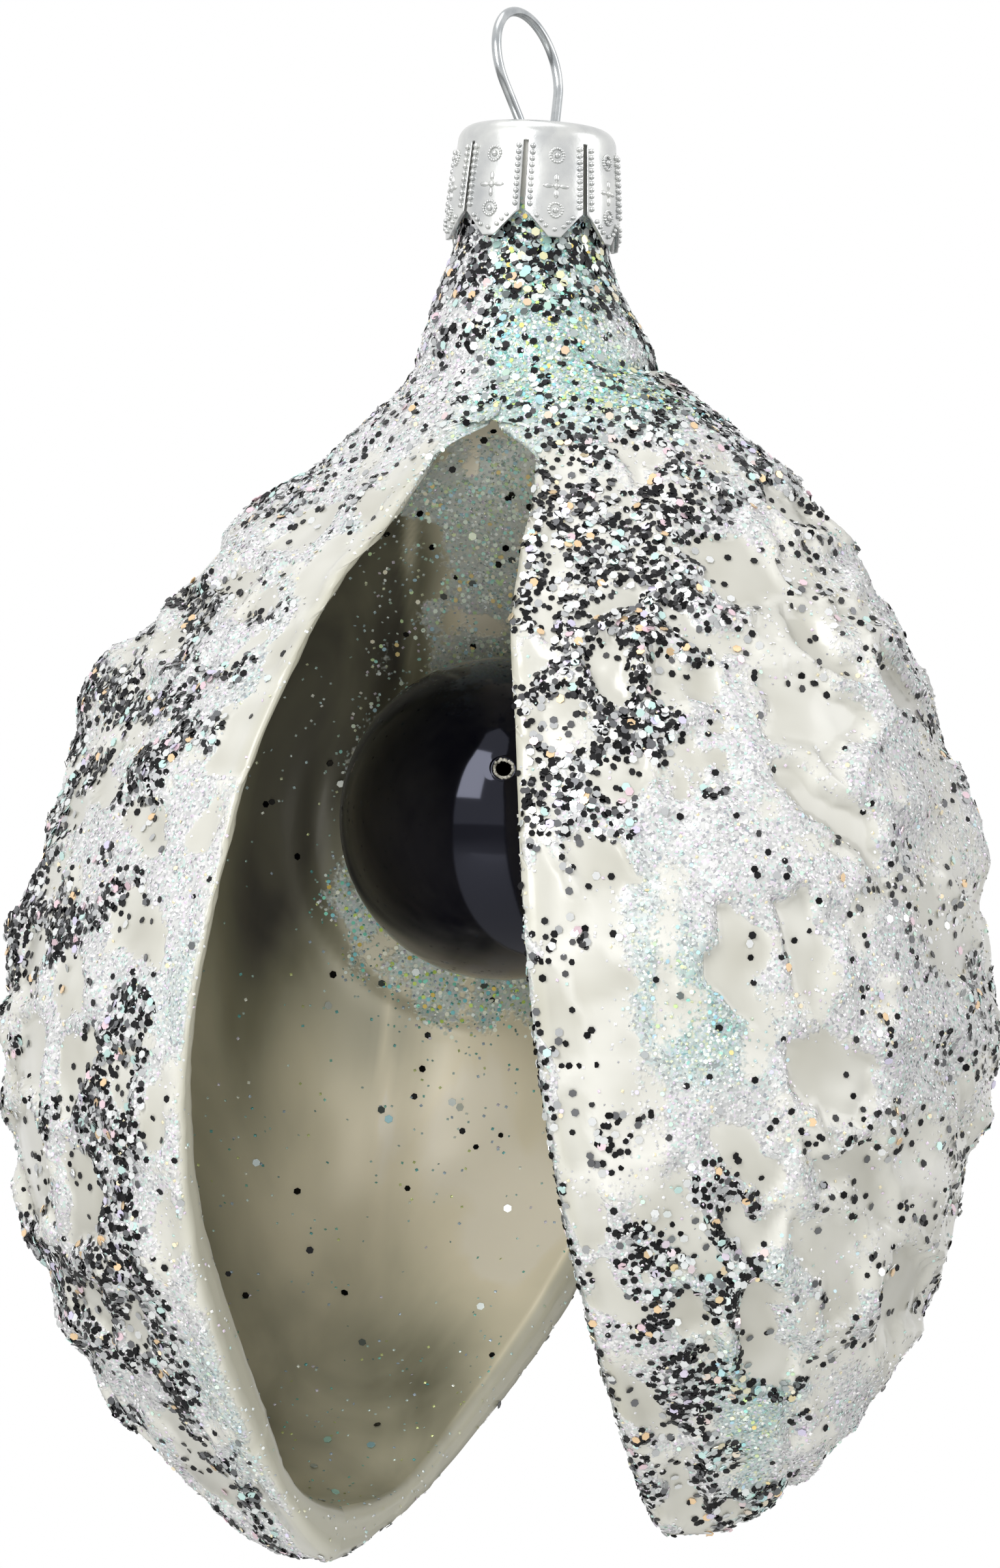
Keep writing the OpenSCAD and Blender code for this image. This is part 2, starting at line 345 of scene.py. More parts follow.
def grid_faces(rows, columns, closed=False):
    """Quads between rings of points, and from the last ring back to the first if closed."""
    faces = []
    for r in range(rows if closed else rows - 1):
        here = r * columns
        below = (r + 1) % rows * columns
        for c in range(columns):
            d = (c + 1) % columns
            faces.append((here + c, here + d, below + d, below + c))
    return faces


def into_scene(name, data):
    """A new object in the scene for a mesh, a lamp or a camera."""
    thing = bpy.data.objects.new(name, data)
    bpy.context.scene.collection.objects.link(thing)
    return thing


def make_piece(name, points, faces, masks=None, weld=1e-6):
    """A mesh object from points in mm, with doubles merged and its faces turned outwards."""
    mesh = bpy.data.meshes.new(name)
    mesh.from_pydata((np.asarray(points) * MM).tolist(), [], faces)
    for key, values in (masks or {}).items():
        layer = mesh.attributes.new(key, "FLOAT", "POINT")
        layer.data.foreach_set("value", np.asarray(values, np.float32).ravel())
    bm = bmesh.new()
    bm.from_mesh(mesh)
    bmesh.ops.remove_doubles(bm, verts=bm.verts, dist=weld)
    bmesh.ops.recalc_face_normals(bm, faces=bm.faces)
    bm.to_mesh(mesh)
    bm.free()
    mesh.polygons.foreach_set("use_smooth", [True] * len(mesh.polygons))
    return into_scene(name, mesh)


def finish_piece(piece, material, slot, body, *nodes):
    """Gives a piece the material, when one is given, and its body, and hides its nodes; the slot is
    not used.
    """
    if material is not None:
        piece.data.materials.clear()
        piece.data.materials.append(material)
    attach(piece, body)
    if nodes:
        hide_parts(*nodes)


def tube(path, radius, sides):
    """A round bar along a path, with rounded ends, as points and faces."""
    path = np.asarray(path)
    forward = unit(np.gradient(path, axis=0))
    side = unit(np.cross(forward[0], [0.3, 0.5, 0.81]))
    rings = []
    turn = np.linspace(0, 2 * math.pi, sides, endpoint=False)
    for p, f in zip(path, forward):
        side = unit(side - f * np.dot(side, f))
        up = np.cross(f, side)
        rings.append(p + radius * (np.outer(np.cos(turn), side) + np.outer(np.sin(turn), up)))
    for end, sign in ((0, -1), (-1, 1)):
        caps = []
        for angle in (20, 40, 60, 80, 90):
            lift = forward[end] * sign * radius * math.sin(math.radians(angle))
            caps.append(path[end] + lift + (rings[end] - path[end]) * math.cos(math.radians(angle)))
        rings = caps[::-1] + rings if end == 0 else rings + caps
    return np.concatenate(rings), grid_faces(len(rings), sides)


# ---------------------------------------------------------------- node trees

def feed(tree, node, inputs):
    """Fills a node's inputs: a socket is linked in, anything else is the value itself."""
    for key, value in inputs.items():
        if isinstance(value, bpy.types.NodeSocket):
            tree.links.new(value, node.inputs[key])
        else:
            node.inputs[key].default_value = value


def add(tree, kind, inputs=None, **settings):
    """Adds one node with its settings, and its inputs by name or by place."""
    node = tree.nodes.new(kind)
    for key, value in settings.items():
        setattr(node, key, value)
    feed(tree, node, inputs or {})
    return node


def cleared(owner):
    """The emptied node tree of a material or of the world."""
    owner.use_nodes = True
    owner.node_tree.nodes.clear()
    return owner.node_tree


def new_material(name):
    """A material of one Principled shader, still plain."""
    material = bpy.data.materials.new(name)
    tree = cleared(material)
    surface = add(tree, "ShaderNodeBsdfPrincipled")
    add(tree, "ShaderNodeOutputMaterial", {"Surface": surface.outputs["BSDF"]})
    return material, tree, surface


def set_ramp(node, stops, kind="LINEAR"):
    """Gives a colour ramp its stops, each a place from 0 to 1 and a hex colour."""
    ramp = node.color_ramp
    ramp.interpolation = kind
    while len(ramp.elements) > 1:
        ramp.elements.remove(ramp.elements[-1])
    ramp.elements[0].position = stops[0][0]
    ramp.elements[0].color = linear(stops[0][1])
    for place, colour in stops[1:]:
        ramp.elements.new(place).color = linear(colour)


def new_geometry_tree(name, inputs):
    """A Geometry Nodes tree with its named inputs, and the sockets that bring them in."""
    tree = bpy.data.node_groups.new(name, "GeometryNodeTree")
    for label, kind in {"Geometry": "Geometry", **inputs}.items():
        tree.interface.new_socket(label, in_out="INPUT", socket_type="NodeSocket" + kind)
    tree.interface.new_socket("Geometry", in_out="OUTPUT", socket_type="NodeSocketGeometry")
    return tree, tree.nodes.new("NodeGroupInput").outputs


def end_geometry_tree(tree, instances, material):
    """Makes the instances real, gives them their material and puts them out."""
    real = add(tree, "GeometryNodeRealizeInstances", {"Geometry": instances})
    dressed = add(tree, "GeometryNodeSetMaterial", {
        "Geometry": real.outputs["Geometry"], "Material": material})
    add(tree, "NodeGroupOutput", {"Geometry": dressed.outputs["Geometry"]})


# ---------------------------------------------------------------- materials

def drawn_steel_wire():
    """Bright drawn steel wire: fine lines along it dull its shine a little."""
    material, tree, surface = new_material("drawn_steel_wire")
    place = add(tree, "ShaderNodeTexCoord").outputs["Object"]
    lines = add(tree, "ShaderNodeTexNoise", {"Vector": place, "Scale": 900.0, "Detail": 3.0})
    tone = add(tree, "ShaderNodeValToRGB", {"Fac": lines.outputs["Fac"]})
    set_ramp(tone, [(0.3, "#A4A8AB"), (0.7, "#C4C7C8")])
    rough = add(tree, "ShaderNodeMapRange", {
        "Value": lines.outputs["Fac"], "To Min": 0.16, "To Max": 0.26})
    feed(tree, surface, {"Base Color": tone.outputs["Color"], "Metallic": 1.0,
                         "Roughness": rough.outputs["Result"]})
    return material


def stamped_aluminium():
    """Thin stamped aluminium with a frosted bright face: silvery, softly mottled."""
    material, tree, surface = new_material("stamped_aluminium")
    place = add(tree, "ShaderNodeTexCoord").outputs["Object"]
    mottle = add(tree, "ShaderNodeTexNoise", {"Vector": place, "Scale": 420.0, "Detail": 4.0})
    tone = add(tree, "ShaderNodeValToRGB", {"Fac": mottle.outputs["Fac"]})
    set_ramp(tone, [(0.3, "#BFC1C2"), (0.7, "#DFE0DD")])
    rough = add(tree, "ShaderNodeMapRange", {
        "Value": mottle.outputs["Fac"], "To Min": 0.2, "To Max": 0.36})
    grain = add(tree, "ShaderNodeTexNoise", {"Vector": place, "Scale": 5200.0, "Detail": 2.0})
    bump = add(tree, "ShaderNodeBump", {
        "Height": grain.outputs["Fac"], "Strength": 0.18, "Distance": 0.00004})
    feed(tree, surface, {"Base Color": tone.outputs["Color"], "Metallic": 0.9,
                         "Roughness": rough.outputs["Result"], "Normal": bump.outputs["Normal"]})
    return material


def frosted_pearl_glass():
    """Blown glass with pearl-white lacquer outside, a fine glitter film on its raised bands,
    a pale lip and a satin silvered inside, with painted shade in the outer pockets and painted
    light and shade on the inside. The mesh's attributes say where each one lies."""
    material, tree, surface = new_material("frosted_pearl_glass")
    place = add(tree, "ShaderNodeTexCoord").outputs["Object"]
    cover, aqua, inside, lip, painted_light_and_shade = (
        add(tree, "ShaderNodeAttribute", attribute_name=name).outputs["Fac"]
        for name in ("film", "aqua", "inside", "lip", "painted_light_and_shade"))

    # The film ends in crumbs, not in a line
    crumbs = add(tree, "ShaderNodeTexNoise", {"Vector": place, "Scale": 2400.0, "Detail": 2.0})
    ragged = add(tree, "ShaderNodeMath", {0: crumbs.outputs["Fac"], 1: 0.7, 2: cover},
                 operation="MULTIPLY_ADD")
    film = add(tree, "ShaderNodeMapRange", {
        "Value": ragged.outputs["Value"], "From Min": 0.78, "From Max": 1.02},
        interpolation_type="SMOOTHSTEP").outputs["Result"]

    # Lacquer: warm white, greyed by painted shade in the pockets
    pools = add(tree, "ShaderNodeTexNoise", {"Vector": place, "Scale": 160.0, "Detail": 2.0})
    pocket_shade = add(tree, "ShaderNodeMath", {0: painted_light_and_shade, 1: -0.3, 2: pools.outputs["Fac"]},
                  operation="MULTIPLY_ADD")
    lacquer = add(tree, "ShaderNodeValToRGB", {"Fac": pocket_shade.outputs["Value"]})
    set_ramp(lacquer, [(0.0, "#B5B3A7"), (0.35, "#CDCCC3"), (0.7, "#E3E2DB")])

    # Film: grains about 0.2 mm across, each with its own tint
    grains = add(tree, "ShaderNodeTexVoronoi", {"Vector": place, "Scale": 5200.0,
                                                "Randomness": 1.0}, feature="F1")
    chance = add(tree, "ShaderNodeSeparateColor", {"Color": grains.outputs["Color"]})
    lilac = add(tree, "ShaderNodeValToRGB", {"Fac": chance.outputs["Red"]})
    set_ramp(lilac, [(0.0, "#A5A5A8"), (0.08, "#C0C1C1"), (0.32, "#CFD0CE"), (0.6, "#DCDBDB"),
                     (0.74, "#C5D8D1"), (0.83, "#D9D0DA"), (0.91, "#EBEAE9"), (0.975, "#9DA1AA")],
             "CONSTANT")
    green = add(tree, "ShaderNodeValToRGB", {"Fac": chance.outputs["Red"]})
    set_ramp(green, [(0.0, "#7C8E8B"), (0.12, "#9DB2AE"), (0.36, "#B7C8C4"), (0.55, "#8DBDB1"),
                     (0.66, "#BCC795"), (0.75, "#B4BFCC"), (0.87, "#DBE6DE"), (0.95, "#62A3A2")],
             "CONSTANT")
    tint = add(tree, "ShaderNodeMix", {
        "Factor": aqua, 6: lilac.outputs["Color"], 7: green.outputs["Color"]}, data_type="RGBA")
    outside = add(tree, "ShaderNodeMix", {
        "Factor": film, 6: lacquer.outputs["Color"], 7: tint.outputs[2]}, data_type="RGBA")

    # Silvered inside: painted light and shade from the mesh's mask set how light it is, with olive
    # grey in drawn-out clouds, veiled by thin glitter paled by painted light
    stretch = add(tree, "ShaderNodeMapping", {"Vector": place, "Scale": (1.0, 1.0, 0.3)})
    cloud = add(tree, "ShaderNodeTexNoise", {
        "Vector": stretch.outputs["Vector"], "Scale": 130.0, "Detail": 3.5, "Roughness": 0.55,
        "Distortion": 0.6})
    shade = add(tree, "ShaderNodeMath", {0: cloud.outputs["Fac"], 1: 0.42, 2: painted_light_and_shade},
                operation="MULTIPLY_ADD")
    silver = add(tree, "ShaderNodeValToRGB", {"Fac": shade.outputs["Value"]})
    set_ramp(silver, [(0.14, "#45433E"), (0.34, "#85836F"), (0.54, "#BDB9A2"), (0.74, "#E3DCC2"),
                      (0.94, "#F6EDD3"), (1.0, "#FBF4E1")])
    thin_film = add(tree, "ShaderNodeMath", {0: film, 1: 0.9}, operation="MULTIPLY")
    # Inside, the glitter's tint is paled towards white as painted light, for light that comes
    # through the shell
    pale = add(tree, "ShaderNodeMix", {"Factor": 0.4, 6: tint.outputs[2], 7: linear("#F3F7F5")},
               data_type="RGBA")
    veiled = add(tree, "ShaderNodeMix", {
        "Factor": thin_film.outputs["Value"], 6: silver.outputs["Color"], 7: pale.outputs[2]},
        data_type="RGBA")
    body = add(tree, "ShaderNodeMix", {
        "Factor": inside, 6: outside.outputs[2], 7: veiled.outputs[2]}, data_type="RGBA")
    colour = add(tree, "ShaderNodeMix", {
        "Factor": lip, 6: body.outputs[2], 7: linear("#BAB8A8")}, data_type="RGBA")

    # Each grain of the film leans its own way
    thick = add(tree, "ShaderNodeMath", {0: chance.outputs["Green"], 1: film, 2: film},
                operation="MULTIPLY_ADD")
    lean = add(tree, "ShaderNodeBump", {
        "Height": thick.outputs["Value"], "Strength": 0.5, "Distance": 0.00007})
    rough = add(tree, "ShaderNodeMapRange", {"Value": film, "To Min": 0.3, "To Max": 0.42})
    film_metal = add(tree, "ShaderNodeMath", {0: film, 1: 0.06}, operation="MULTIPLY")
    metal = add(tree, "ShaderNodeMath", {0: inside, 1: 0.2, 2: film_metal.outputs["Value"]},
                operation="MULTIPLY_ADD")
    feed(tree, surface, {
        "Base Color": colour.outputs[2], "Normal": lean.outputs["Normal"],
        "Roughness": rough.outputs["Result"], "Metallic": metal.outputs["Value"],
        "IOR": 1.5, "Coat Weight": 0.5, "Coat Roughness": 0.16})
    return material


def glitter_foil(name, stops, aqua_stops, roughness, metallic):
    """Cut foil flakes: each one is a flat mirror-like chip with its own tint."""
    material, tree, surface = new_material(name)
    tint, aqua = (add(tree, "ShaderNodeAttribute", attribute_name=name).outputs["Fac"]
                  for name in ("tint", "aqua"))
    plain = add(tree, "ShaderNodeValToRGB", {"Fac": tint})
    set_ramp(plain, stops, "CONSTANT")
    green = add(tree, "ShaderNodeValToRGB", {"Fac": tint})
    set_ramp(green, aqua_stops, "CONSTANT")
    mixed = add(tree, "ShaderNodeMix", {
        "Factor": aqua, 6: plain.outputs["Color"], 7: green.outputs["Color"]}, data_type="RGBA")
    feed(tree, surface, {"Base Color": mixed.outputs[2], "Roughness": roughness,
                         "Metallic": metallic})
    return material


def black_pearl_glass():
    """Black glass bead: deep and glossy, with a cool sheen and a faint haze in its skin."""
    material, tree, surface = new_material("black_pearl_glass")
    place = add(tree, "ShaderNodeTexCoord").outputs["Object"]
    haze = add(tree, "ShaderNodeTexNoise", {"Vector": place, "Scale": 90.0, "Detail": 3.0})
    tone = add(tree, "ShaderNodeValToRGB", {"Fac": haze.outputs["Fac"]})
    set_ramp(tone, [(0.3, "#06060B"), (0.75, "#101018")])
    rough = add(tree, "ShaderNodeMapRange", {
        "Value": haze.outputs["Fac"], "To Min": 0.05, "To Max": 0.12})
    feed(tree, surface, {
        "Base Color": tone.outputs["Color"], "Roughness": rough.outputs["Result"], "IOR": 1.5,
        "Specular IOR Level": 0.42, "Specular Tint": linear("#D9DDF6")})
    return material


def broken_glass_edge():
    """Ground rim of cut glass: pale, rough and a little glassy."""
    material, tree, surface = new_material("broken_glass_edge")
    place = add(tree, "ShaderNodeTexCoord").outputs["Object"]
    grit = add(tree, "ShaderNodeTexVoronoi", {"Vector": place, "Scale": 6500.0}, feature="F1")
    chance = add(tree, "ShaderNodeSeparateColor", {"Color": grit.outputs["Color"]})
    tone = add(tree, "ShaderNodeValToRGB", {"Fac": chance.outputs["Red"]})
    set_ramp(tone, [(0.0, "#5E5C56"), (0.5, "#A9A79C"), (1.0, "#DCDACF")])
    bump = add(tree, "ShaderNodeBump", {
        "Height": chance.outputs["Green"], "Strength": 0.6, "Distance": 0.00006})
    feed(tree, surface, {"Base Color": tone.outputs["Color"], "Normal": bump.outputs["Normal"],
                         "Roughness": 0.35, "IOR": 1.5})
    return material


def clear_glue():
    """Clear glue set with fine aqua and gold glitter under its shiny skin."""
    material, tree, surface = new_material("clear_glue")
    place = add(tree, "ShaderNodeTexCoord").outputs["Object"]
    grains = add(tree, "ShaderNodeTexVoronoi", {"Vector": place, "Scale": 4200.0,
                                                "Randomness": 1.0}, feature="F1")
    chance = add(tree, "ShaderNodeSeparateColor", {"Color": grains.outputs["Color"]})
    tone = add(tree, "ShaderNodeValToRGB", {"Fac": chance.outputs["Red"]})
    set_ramp(tone, [(0.0, "#55746D"), (0.25, "#7BA093"), (0.5, "#86BFAA"), (0.68, "#BBC27C"),
                    (0.84, "#A5CBC4"), (0.93, "#DCE6CC")], "CONSTANT")
    bump = add(tree, "ShaderNodeBump", {
        "Height": grains.outputs["Distance"], "Strength": 0.6, "Distance": 0.0001})
    feed(tree, surface, {
        "Base Color": tone.outputs["Color"], "Normal": bump.outputs["Normal"], "Roughness": 0.3,
        "Metallic": 0.15, "Coat Weight": 0.6, "Coat Roughness": 0.06, "IOR": 1.49})
    return material


# ---------------------------------------------------------------- hanger wire

def hanger_wire(material):
    """One bent wire: two legs through the cap and a round loop, leaning back."""
    up = LOOP_R + LOOP_FOOT + PIVOT_DROP
    tangent = math.acos(LOOP_R / math.hypot(LEG_X, up)) - math.atan2(up, LEG_X)
    splay = math.radians(LEG_SPLAY)
    foot = np.array([LEG_X + LEG_LENGTH * math.sin(splay), -LEG_LENGTH * math.cos(splay)])
    hole = np.array([LEG_X, 0.0])
    shoulder = np.array([LOOP_R * math.cos(tangent), up + LOOP_R * math.sin(tangent)])
    leg = []
    for start, end, steps in ((foot, hole, LEG_STEPS), (hole, shoulder, SHOULDER_STEPS)):
        leg += [start + (end - start) * k / steps for k in range(steps)]
    leg = np.array(leg)
    # Three rounds of smoothing turn the corner at the hole into a bend
    for _ in range(3):
        leg[1:-1] = (leg[:-2] + 2 * leg[1:-1] + leg[2:]) / 4
    angles = np.linspace(tangent, math.pi - tangent, LOOP_STEPS)
    loop = np.stack([LOOP_R * np.cos(angles), up + LOOP_R * np.sin(angles)], 1)
    flat = np.concatenate([leg, loop, leg[::-1] * [-1, 1]])
    lean = math.radians(LOOP_LEAN)
    turn = math.radians(LOOP_TURN)
    x = flat[:, 0]
    y = flat[:, 1] * math.sin(lean)
    z = flat[:, 1] * math.cos(lean) - PIVOT_DROP
    path = np.stack([x * math.cos(turn) - y * math.sin(turn),
                     x * math.sin(turn) + y * math.cos(turn), z], 1) + CAP
    points, faces = tube(path, WIRE_R, WIRE_SIDES)
    piece = make_piece("bent_wire_loop", points, faces)
    finish_piece(piece, material, "wire", "hanger", "hanger_wire")


# ---------------------------------------------------------------- crown cap

def cap_profile(s):
    """Radius and drop of the cap's face at a distance s down its outline."""
    arc = SHOULDER_R * math.pi / 2
    flat = CAP_R - SHOULDER_R
    if s < flat:
        return s, 0.0
    if s < flat + arc:
        a = (s - flat) / SHOULDER_R
        return flat + SHOULDER_R * math.sin(a), SHOULDER_R * (1 - math.cos(a))
    drop = SHOULDER_R + s - flat - arc
    return CAP_R + CAP_FLARE * (drop - SHOULDER_R) / (CAP_HEIGHT - SHOULDER_R), drop


def petal_half(drop):
    """Half width of a petal at a drop: straight sides, then a pointed tip."""
    pitch = 2 * math.pi * (CAP_R + CAP_FLARE) / PETALS / 2
    point = max(0.0, (drop - (CAP_HEIGHT - TIP_LENGTH)) / TIP_LENGTH)
    ease = point ** 0.9
    return (pitch - SLIT_W / 2) * (1 - ease) + TIP_W / 2 * ease


def petal_point(index, across, drop, lift=0.0):
    """A point on a petal: across from -1 to 1, at a drop, lifted off its face."""
    flat_arc = CAP_R - SHOULDER_R + SHOULDER_R * math.pi / 2
    radius, _ = cap_profile(flat_arc + drop - SHOULDER_R)
    centre = math.radians(SLIT_TURN + 360 * (index + 0.5) / PETALS)
    half = petal_half(drop) * radius / (CAP_R + CAP_FLARE)
    angle = centre + across * half / radius
    r = radius + lift
    return CAP + np.array([r * math.cos(angle), r * math.sin(angle), -drop]), angle


def cap_sheet():
    """The cap as a sheet without thickness: a lid with two holes, a shoulder, eight petals."""
    points = []
    columns = PETAL_COLUMNS
    flat = CAP_R - SHOULDER_R
    arc = SHOULDER_R * math.pi / 2
    upper = [flat + arc * k / 8 for k in range(9)] + [flat + arc + 0.15, flat + arc + 0.3]
    around = PETALS * (columns + 2)
    slit_angle = SLIT_W / CAP_R
    angles = []
    for p in range(PETALS):
        start = math.radians(SLIT_TURN + 360 * p / PETALS)
        step = 2 * math.pi / PETALS
        angles.append(start)
        first = start + slit_angle / 2
        last = start + step - slit_angle / 2
        angles += list(np.linspace(first, last, columns + 1))
    for s in upper:
        radius, drop = cap_profile(s)
        points += [CAP + [radius * math.cos(a), radius * math.sin(a), -drop] for a in angles]
    faces = grid_faces(len(upper), around)
    drops = np.concatenate([np.linspace(SLIT_DROP, CAP_HEIGHT - TIP_LENGTH, 14),
                            np.linspace(CAP_HEIGHT - TIP_LENGTH, CAP_HEIGHT, 9)[1:]])
    base = (len(upper) - 1) * around
    for p in range(PETALS):
        previous = [base + p * (columns + 2) + 1 + c for c in range(columns + 1)]
        for drop in drops[1:]:
            row = []
            for c in range(columns + 1):
                puff = PETAL_PUFF * math.sin(math.pi * min(1, (drop - SLIT_DROP) / PUFF_LENGTH))
                across = 2 * c / columns - 1
                place, _ = petal_point(p, across, drop, puff * (1 - abs(across) ** 3))
                row.append(len(points))
                points.append(place)
            faces += [(previous[c], previous[c + 1], row[c + 1], row[c]) for c in range(columns)]
            previous = row

    # The lid: one flat face with its two wire holes, cut into triangles
    edges = [[(math.cos(a) * flat, math.sin(a) * flat) for a in angles]]
    turn = math.radians(LOOP_TURN)
    for side in (-1, 1):
        centre = (side * LEG_X * math.cos(turn), side * LEG_X * math.sin(turn))
        edges.append([(centre[0] + HOLE_R * math.cos(a), centre[1] + HOLE_R * math.sin(a))
                      for a in np.linspace(0, -2 * math.pi, 24, endpoint=False)])
    loops = [[Vector((x, y, 0)) for x, y in part] for part in edges]
    start = len(points)
    for part in edges:
        points += [CAP + [x, y, 0] for x, y in part]
    faces += [tuple(start + i for i in tri) for tri in tessellate_polygon(loops)]
    return np.array(points), faces


def crown_cap(material):
    """Thin stamped cap, given its thickness inwards and a soft edge."""
    points, faces = cap_sheet()
    piece = make_piece("stamped_crown_cap", points, faces)
    lid = max(piece.data.polygons, key=lambda face: face.center.z)
    if lid.normal.z < 0:
        piece.data.flip_normals()
    solid = piece.modifiers.new("wall", "SOLIDIFY")
    solid.thickness = CAP_WALL * MM
    solid.offset = -1
    edge = piece.modifiers.new("edge", "BEVEL")
    edge.width = CAP_EDGE * MM
    edge.segments = 2
    edge.limit_method = "ANGLE"
    edge.angle_limit = math.radians(50)
    apply_modifiers(piece)
    finish_piece(piece, material, "cap", "cap", "crown_cap")


def apply_modifiers(piece):
    """Keeps what a piece's modifiers made as its plain mesh."""
    depsgraph = bpy.context.evaluated_depsgraph_get()
    mesh = bpy.data.meshes.new_from_object(piece.evaluated_get(depsgraph))
    piece.modifiers.clear()
    piece.data = mesh


def bead_marks():
    """Where each petal's raised dots stand: a row along its edge and a motif down its middle."""
    places, turns, sizes = [], [], []

    def mark(index, across, drop, size):
        place, angle = petal_point(index, across, drop, 0.1)
        places.append(place)
        turns.append((math.pi / 2, 0.0, angle + math.pi / 2))
        sizes.append(size)

    def ring(index, drop):
        mark(index, 0, drop, MIDDLE_BEAD)
        for k in range(RING_BEADS):
            a = 2 * math.pi * k / RING_BEADS
            mark(index, RING_R * math.cos(a) / petal_half(drop), drop + RING_R * math.sin(a),
                 RING_BEAD)

    shoulder = CAP_HEIGHT - TIP_LENGTH
    for p in range(PETALS):
        for drop in np.arange(2.0, shoulder, EDGE_PITCH):
            for side in (-1, 1):
                mark(p, side * (1 - BEAD_INSET / petal_half(drop)), drop, EDGE_BEAD)
        for k in range(1, 4):
            drop = shoulder + TIP_PITCH * k
            for side in (-1, 1):
                mark(p, side * (1 - 0.5 / petal_half(drop)), drop, TIP_BEAD)
        mark(p, 0, CAP_HEIGHT - 0.55, TIP_BEAD)
        for drop in RING_DROPS:
            ring(p, drop)
        mark(p, 0, CROSS_DROP, MIDDLE_BEAD)
        wide = petal_half(CROSS_DROP)
        for across, lift, size in CROSS_BARS:
            mark(p, across / wide, CROSS_DROP + lift, size)
    return np.array(places), np.array(turns), np.array(sizes)


def bead_tree():
    """Stands one low bead on every point, turned and sized by the point's own values."""
    tree, given = new_geometry_tree("raised_beads", {"Bead radius": "Float", "Metal": "Material"})
    bead = add(tree, "GeometryNodeMeshUVSphere", {
        "Radius": given["Bead radius"], "Segments": 10, "Rings": 6})
    size, turn = (add(tree, "GeometryNodeInputNamedAttribute", {"Name": name},
                      data_type="FLOAT_VECTOR").outputs["Attribute"]
                  for name in ("size", "turn"))
    rotation = add(tree, "FunctionNodeEulerToRotation", {"Euler": turn})
    smooth = add(tree, "GeometryNodeSetShadeSmooth", {"Geometry": bead.outputs["Mesh"]})
    placed = add(tree, "GeometryNodeInstanceOnPoints", {
        "Points": given["Geometry"], "Instance": smooth.outputs["Geometry"],
        "Rotation": rotation.outputs["Rotation"], "Scale": size})
    end_geometry_tree(tree, placed.outputs["Instances"], given["Metal"])
    return tree


def grow(name, mesh, tree, values):
    """Runs a geometry tree on a mesh and keeps the result as a plain piece."""
    piece = into_scene(name, mesh)
    modifier = piece.modifiers.new("grow", "NODES")
    modifier.node_group = tree
    for item in tree.interface.items_tree:
        if item.in_out == "INPUT" and item.name in values:
            modifier[item.identifier] = values[item.name]
    apply_modifiers(piece)
    return piece


def cap_beads(material):
    """The raised beads of all petals, in the cap's own metal."""
    places, turns, sizes = bead_marks()
    mesh = bpy.data.meshes.new("bead_places")
    mesh.from_pydata((places * MM).tolist(), [], [])
    for key, values in (("turn", turns), ("size", sizes)):
        layer = mesh.attributes.new(key, "FLOAT_VECTOR", "POINT")
        layer.data.foreach_set("vector", values.astype(np.float32).ravel())
    piece = grow("stamped_petal_beads", mesh, bead_tree(), {"Bead radius": MM, "Metal": material})
    finish_piece(piece, None, "cap", "cap")


# ---------------------------------------------------------------- blown glass shell

def neck_radius(drop):
    """A straight pipe, then a flare that goes on as a cone."""
    u = np.clip((drop - NECK_STRAIGHT) / (NECK_DROP - NECK_STRAIGHT), 0, 1)
    beyond = np.clip(drop - NECK_DROP, 0, None)
    return NECK_R + (FLARE_R - NECK_R) * u ** FLARE_POWER + CONE_SLOPE * beyond


def outline(t):
    """Half width of a rim along its length, from 0 to 1 and back to 0."""
    t = np.clip(t, 0, 1)
    return np.sin(math.pi * t ** RIM_LOW) ** (RIM_BLUNT[0] + RIM_BLUNT[1] * t)


def swell(t):
    """Depth of a cup along its length, from 0 to 1 and back to 0."""
    return np.sin(math.pi * np.clip(t, 0, 1) ** CUP_LOW) ** CUP_BLUNT


def yaw_dir(yaw):
    """Plan direction along a rim's plane, towards the back."""
    return np.array([math.sin(math.radians(yaw)), math.cos(math.radians(yaw))])


def out_dir(side, yaw):
    """Plan direction square to a rim's plane, out through its own cup."""
    return side * np.array([math.cos(math.radians(yaw)), -math.sin(math.radians(yaw))])


def mid_line(side, drop):
    """Plan place of the middle of a rim: the halves part further down."""
    out = side * (HINGE_GAP / 2 + VALVES[side]["spread"] * np.clip(drop - HINGE_DROP, 0, None))
    return np.stack([HINGE_X + out, np.full_like(out, HINGE_Y)], -1)


def valve_section(side, w, drop, wall):
    """Plan point of a valve's skin at the angle w, without the neck."""
    valve = VALVES[side]
    start = HINGE_DROP + (TOP_WALL if wall else 0)
    end = HINGE_DROP + valve["length"] - (TIP_WALL if wall else 0)
    t = (drop - start) / (end - start)
    half = (RIM_HALF - wall) * outline(t)
    if wall:
        half = half * (1 + TIP_ROUND * np.exp(-np.clip(end - drop, 0, None) / TIP_REACH))
    depth = (valve["depth"] - wall) * swell(t)
    return (mid_line(side, drop)
            - (half * np.cos(w))[..., None] * yaw_dir(valve["yaw"])
            + (depth * np.sin(w))[..., None] * out_dir(side, valve["yaw"]))


def own_side(side, place, drop):
    """How far a plan point lies on its own valve's side of the seam."""
    gap = 0.0
    for other in (side, -side):
        reach = place - mid_line(other, drop)
        gap = gap + (1 if other == side else -1) * (reach @ out_dir(other, VALVES[other]["yaw"]))
    return gap - SEAM_GAP


def seam_angle(side, drop, wall, low, high):
    """The angle between low and high at which the skin reaches the seam, by halving, or high
    where it never does."""
    low = np.full_like(drop, low)
    high = np.full_like(drop, high)
    reached = own_side(side, valve_section(side, high, drop, wall), drop) < 0
    keep = high.copy()
    for _ in range(30):
        middle = (low + high) / 2
        inside = own_side(side, valve_section(side, middle, drop, wall), drop) >= 0
        low = np.where(inside, middle, low)
        high = np.where(inside, high, middle)
    return np.where(reached, low, keep)


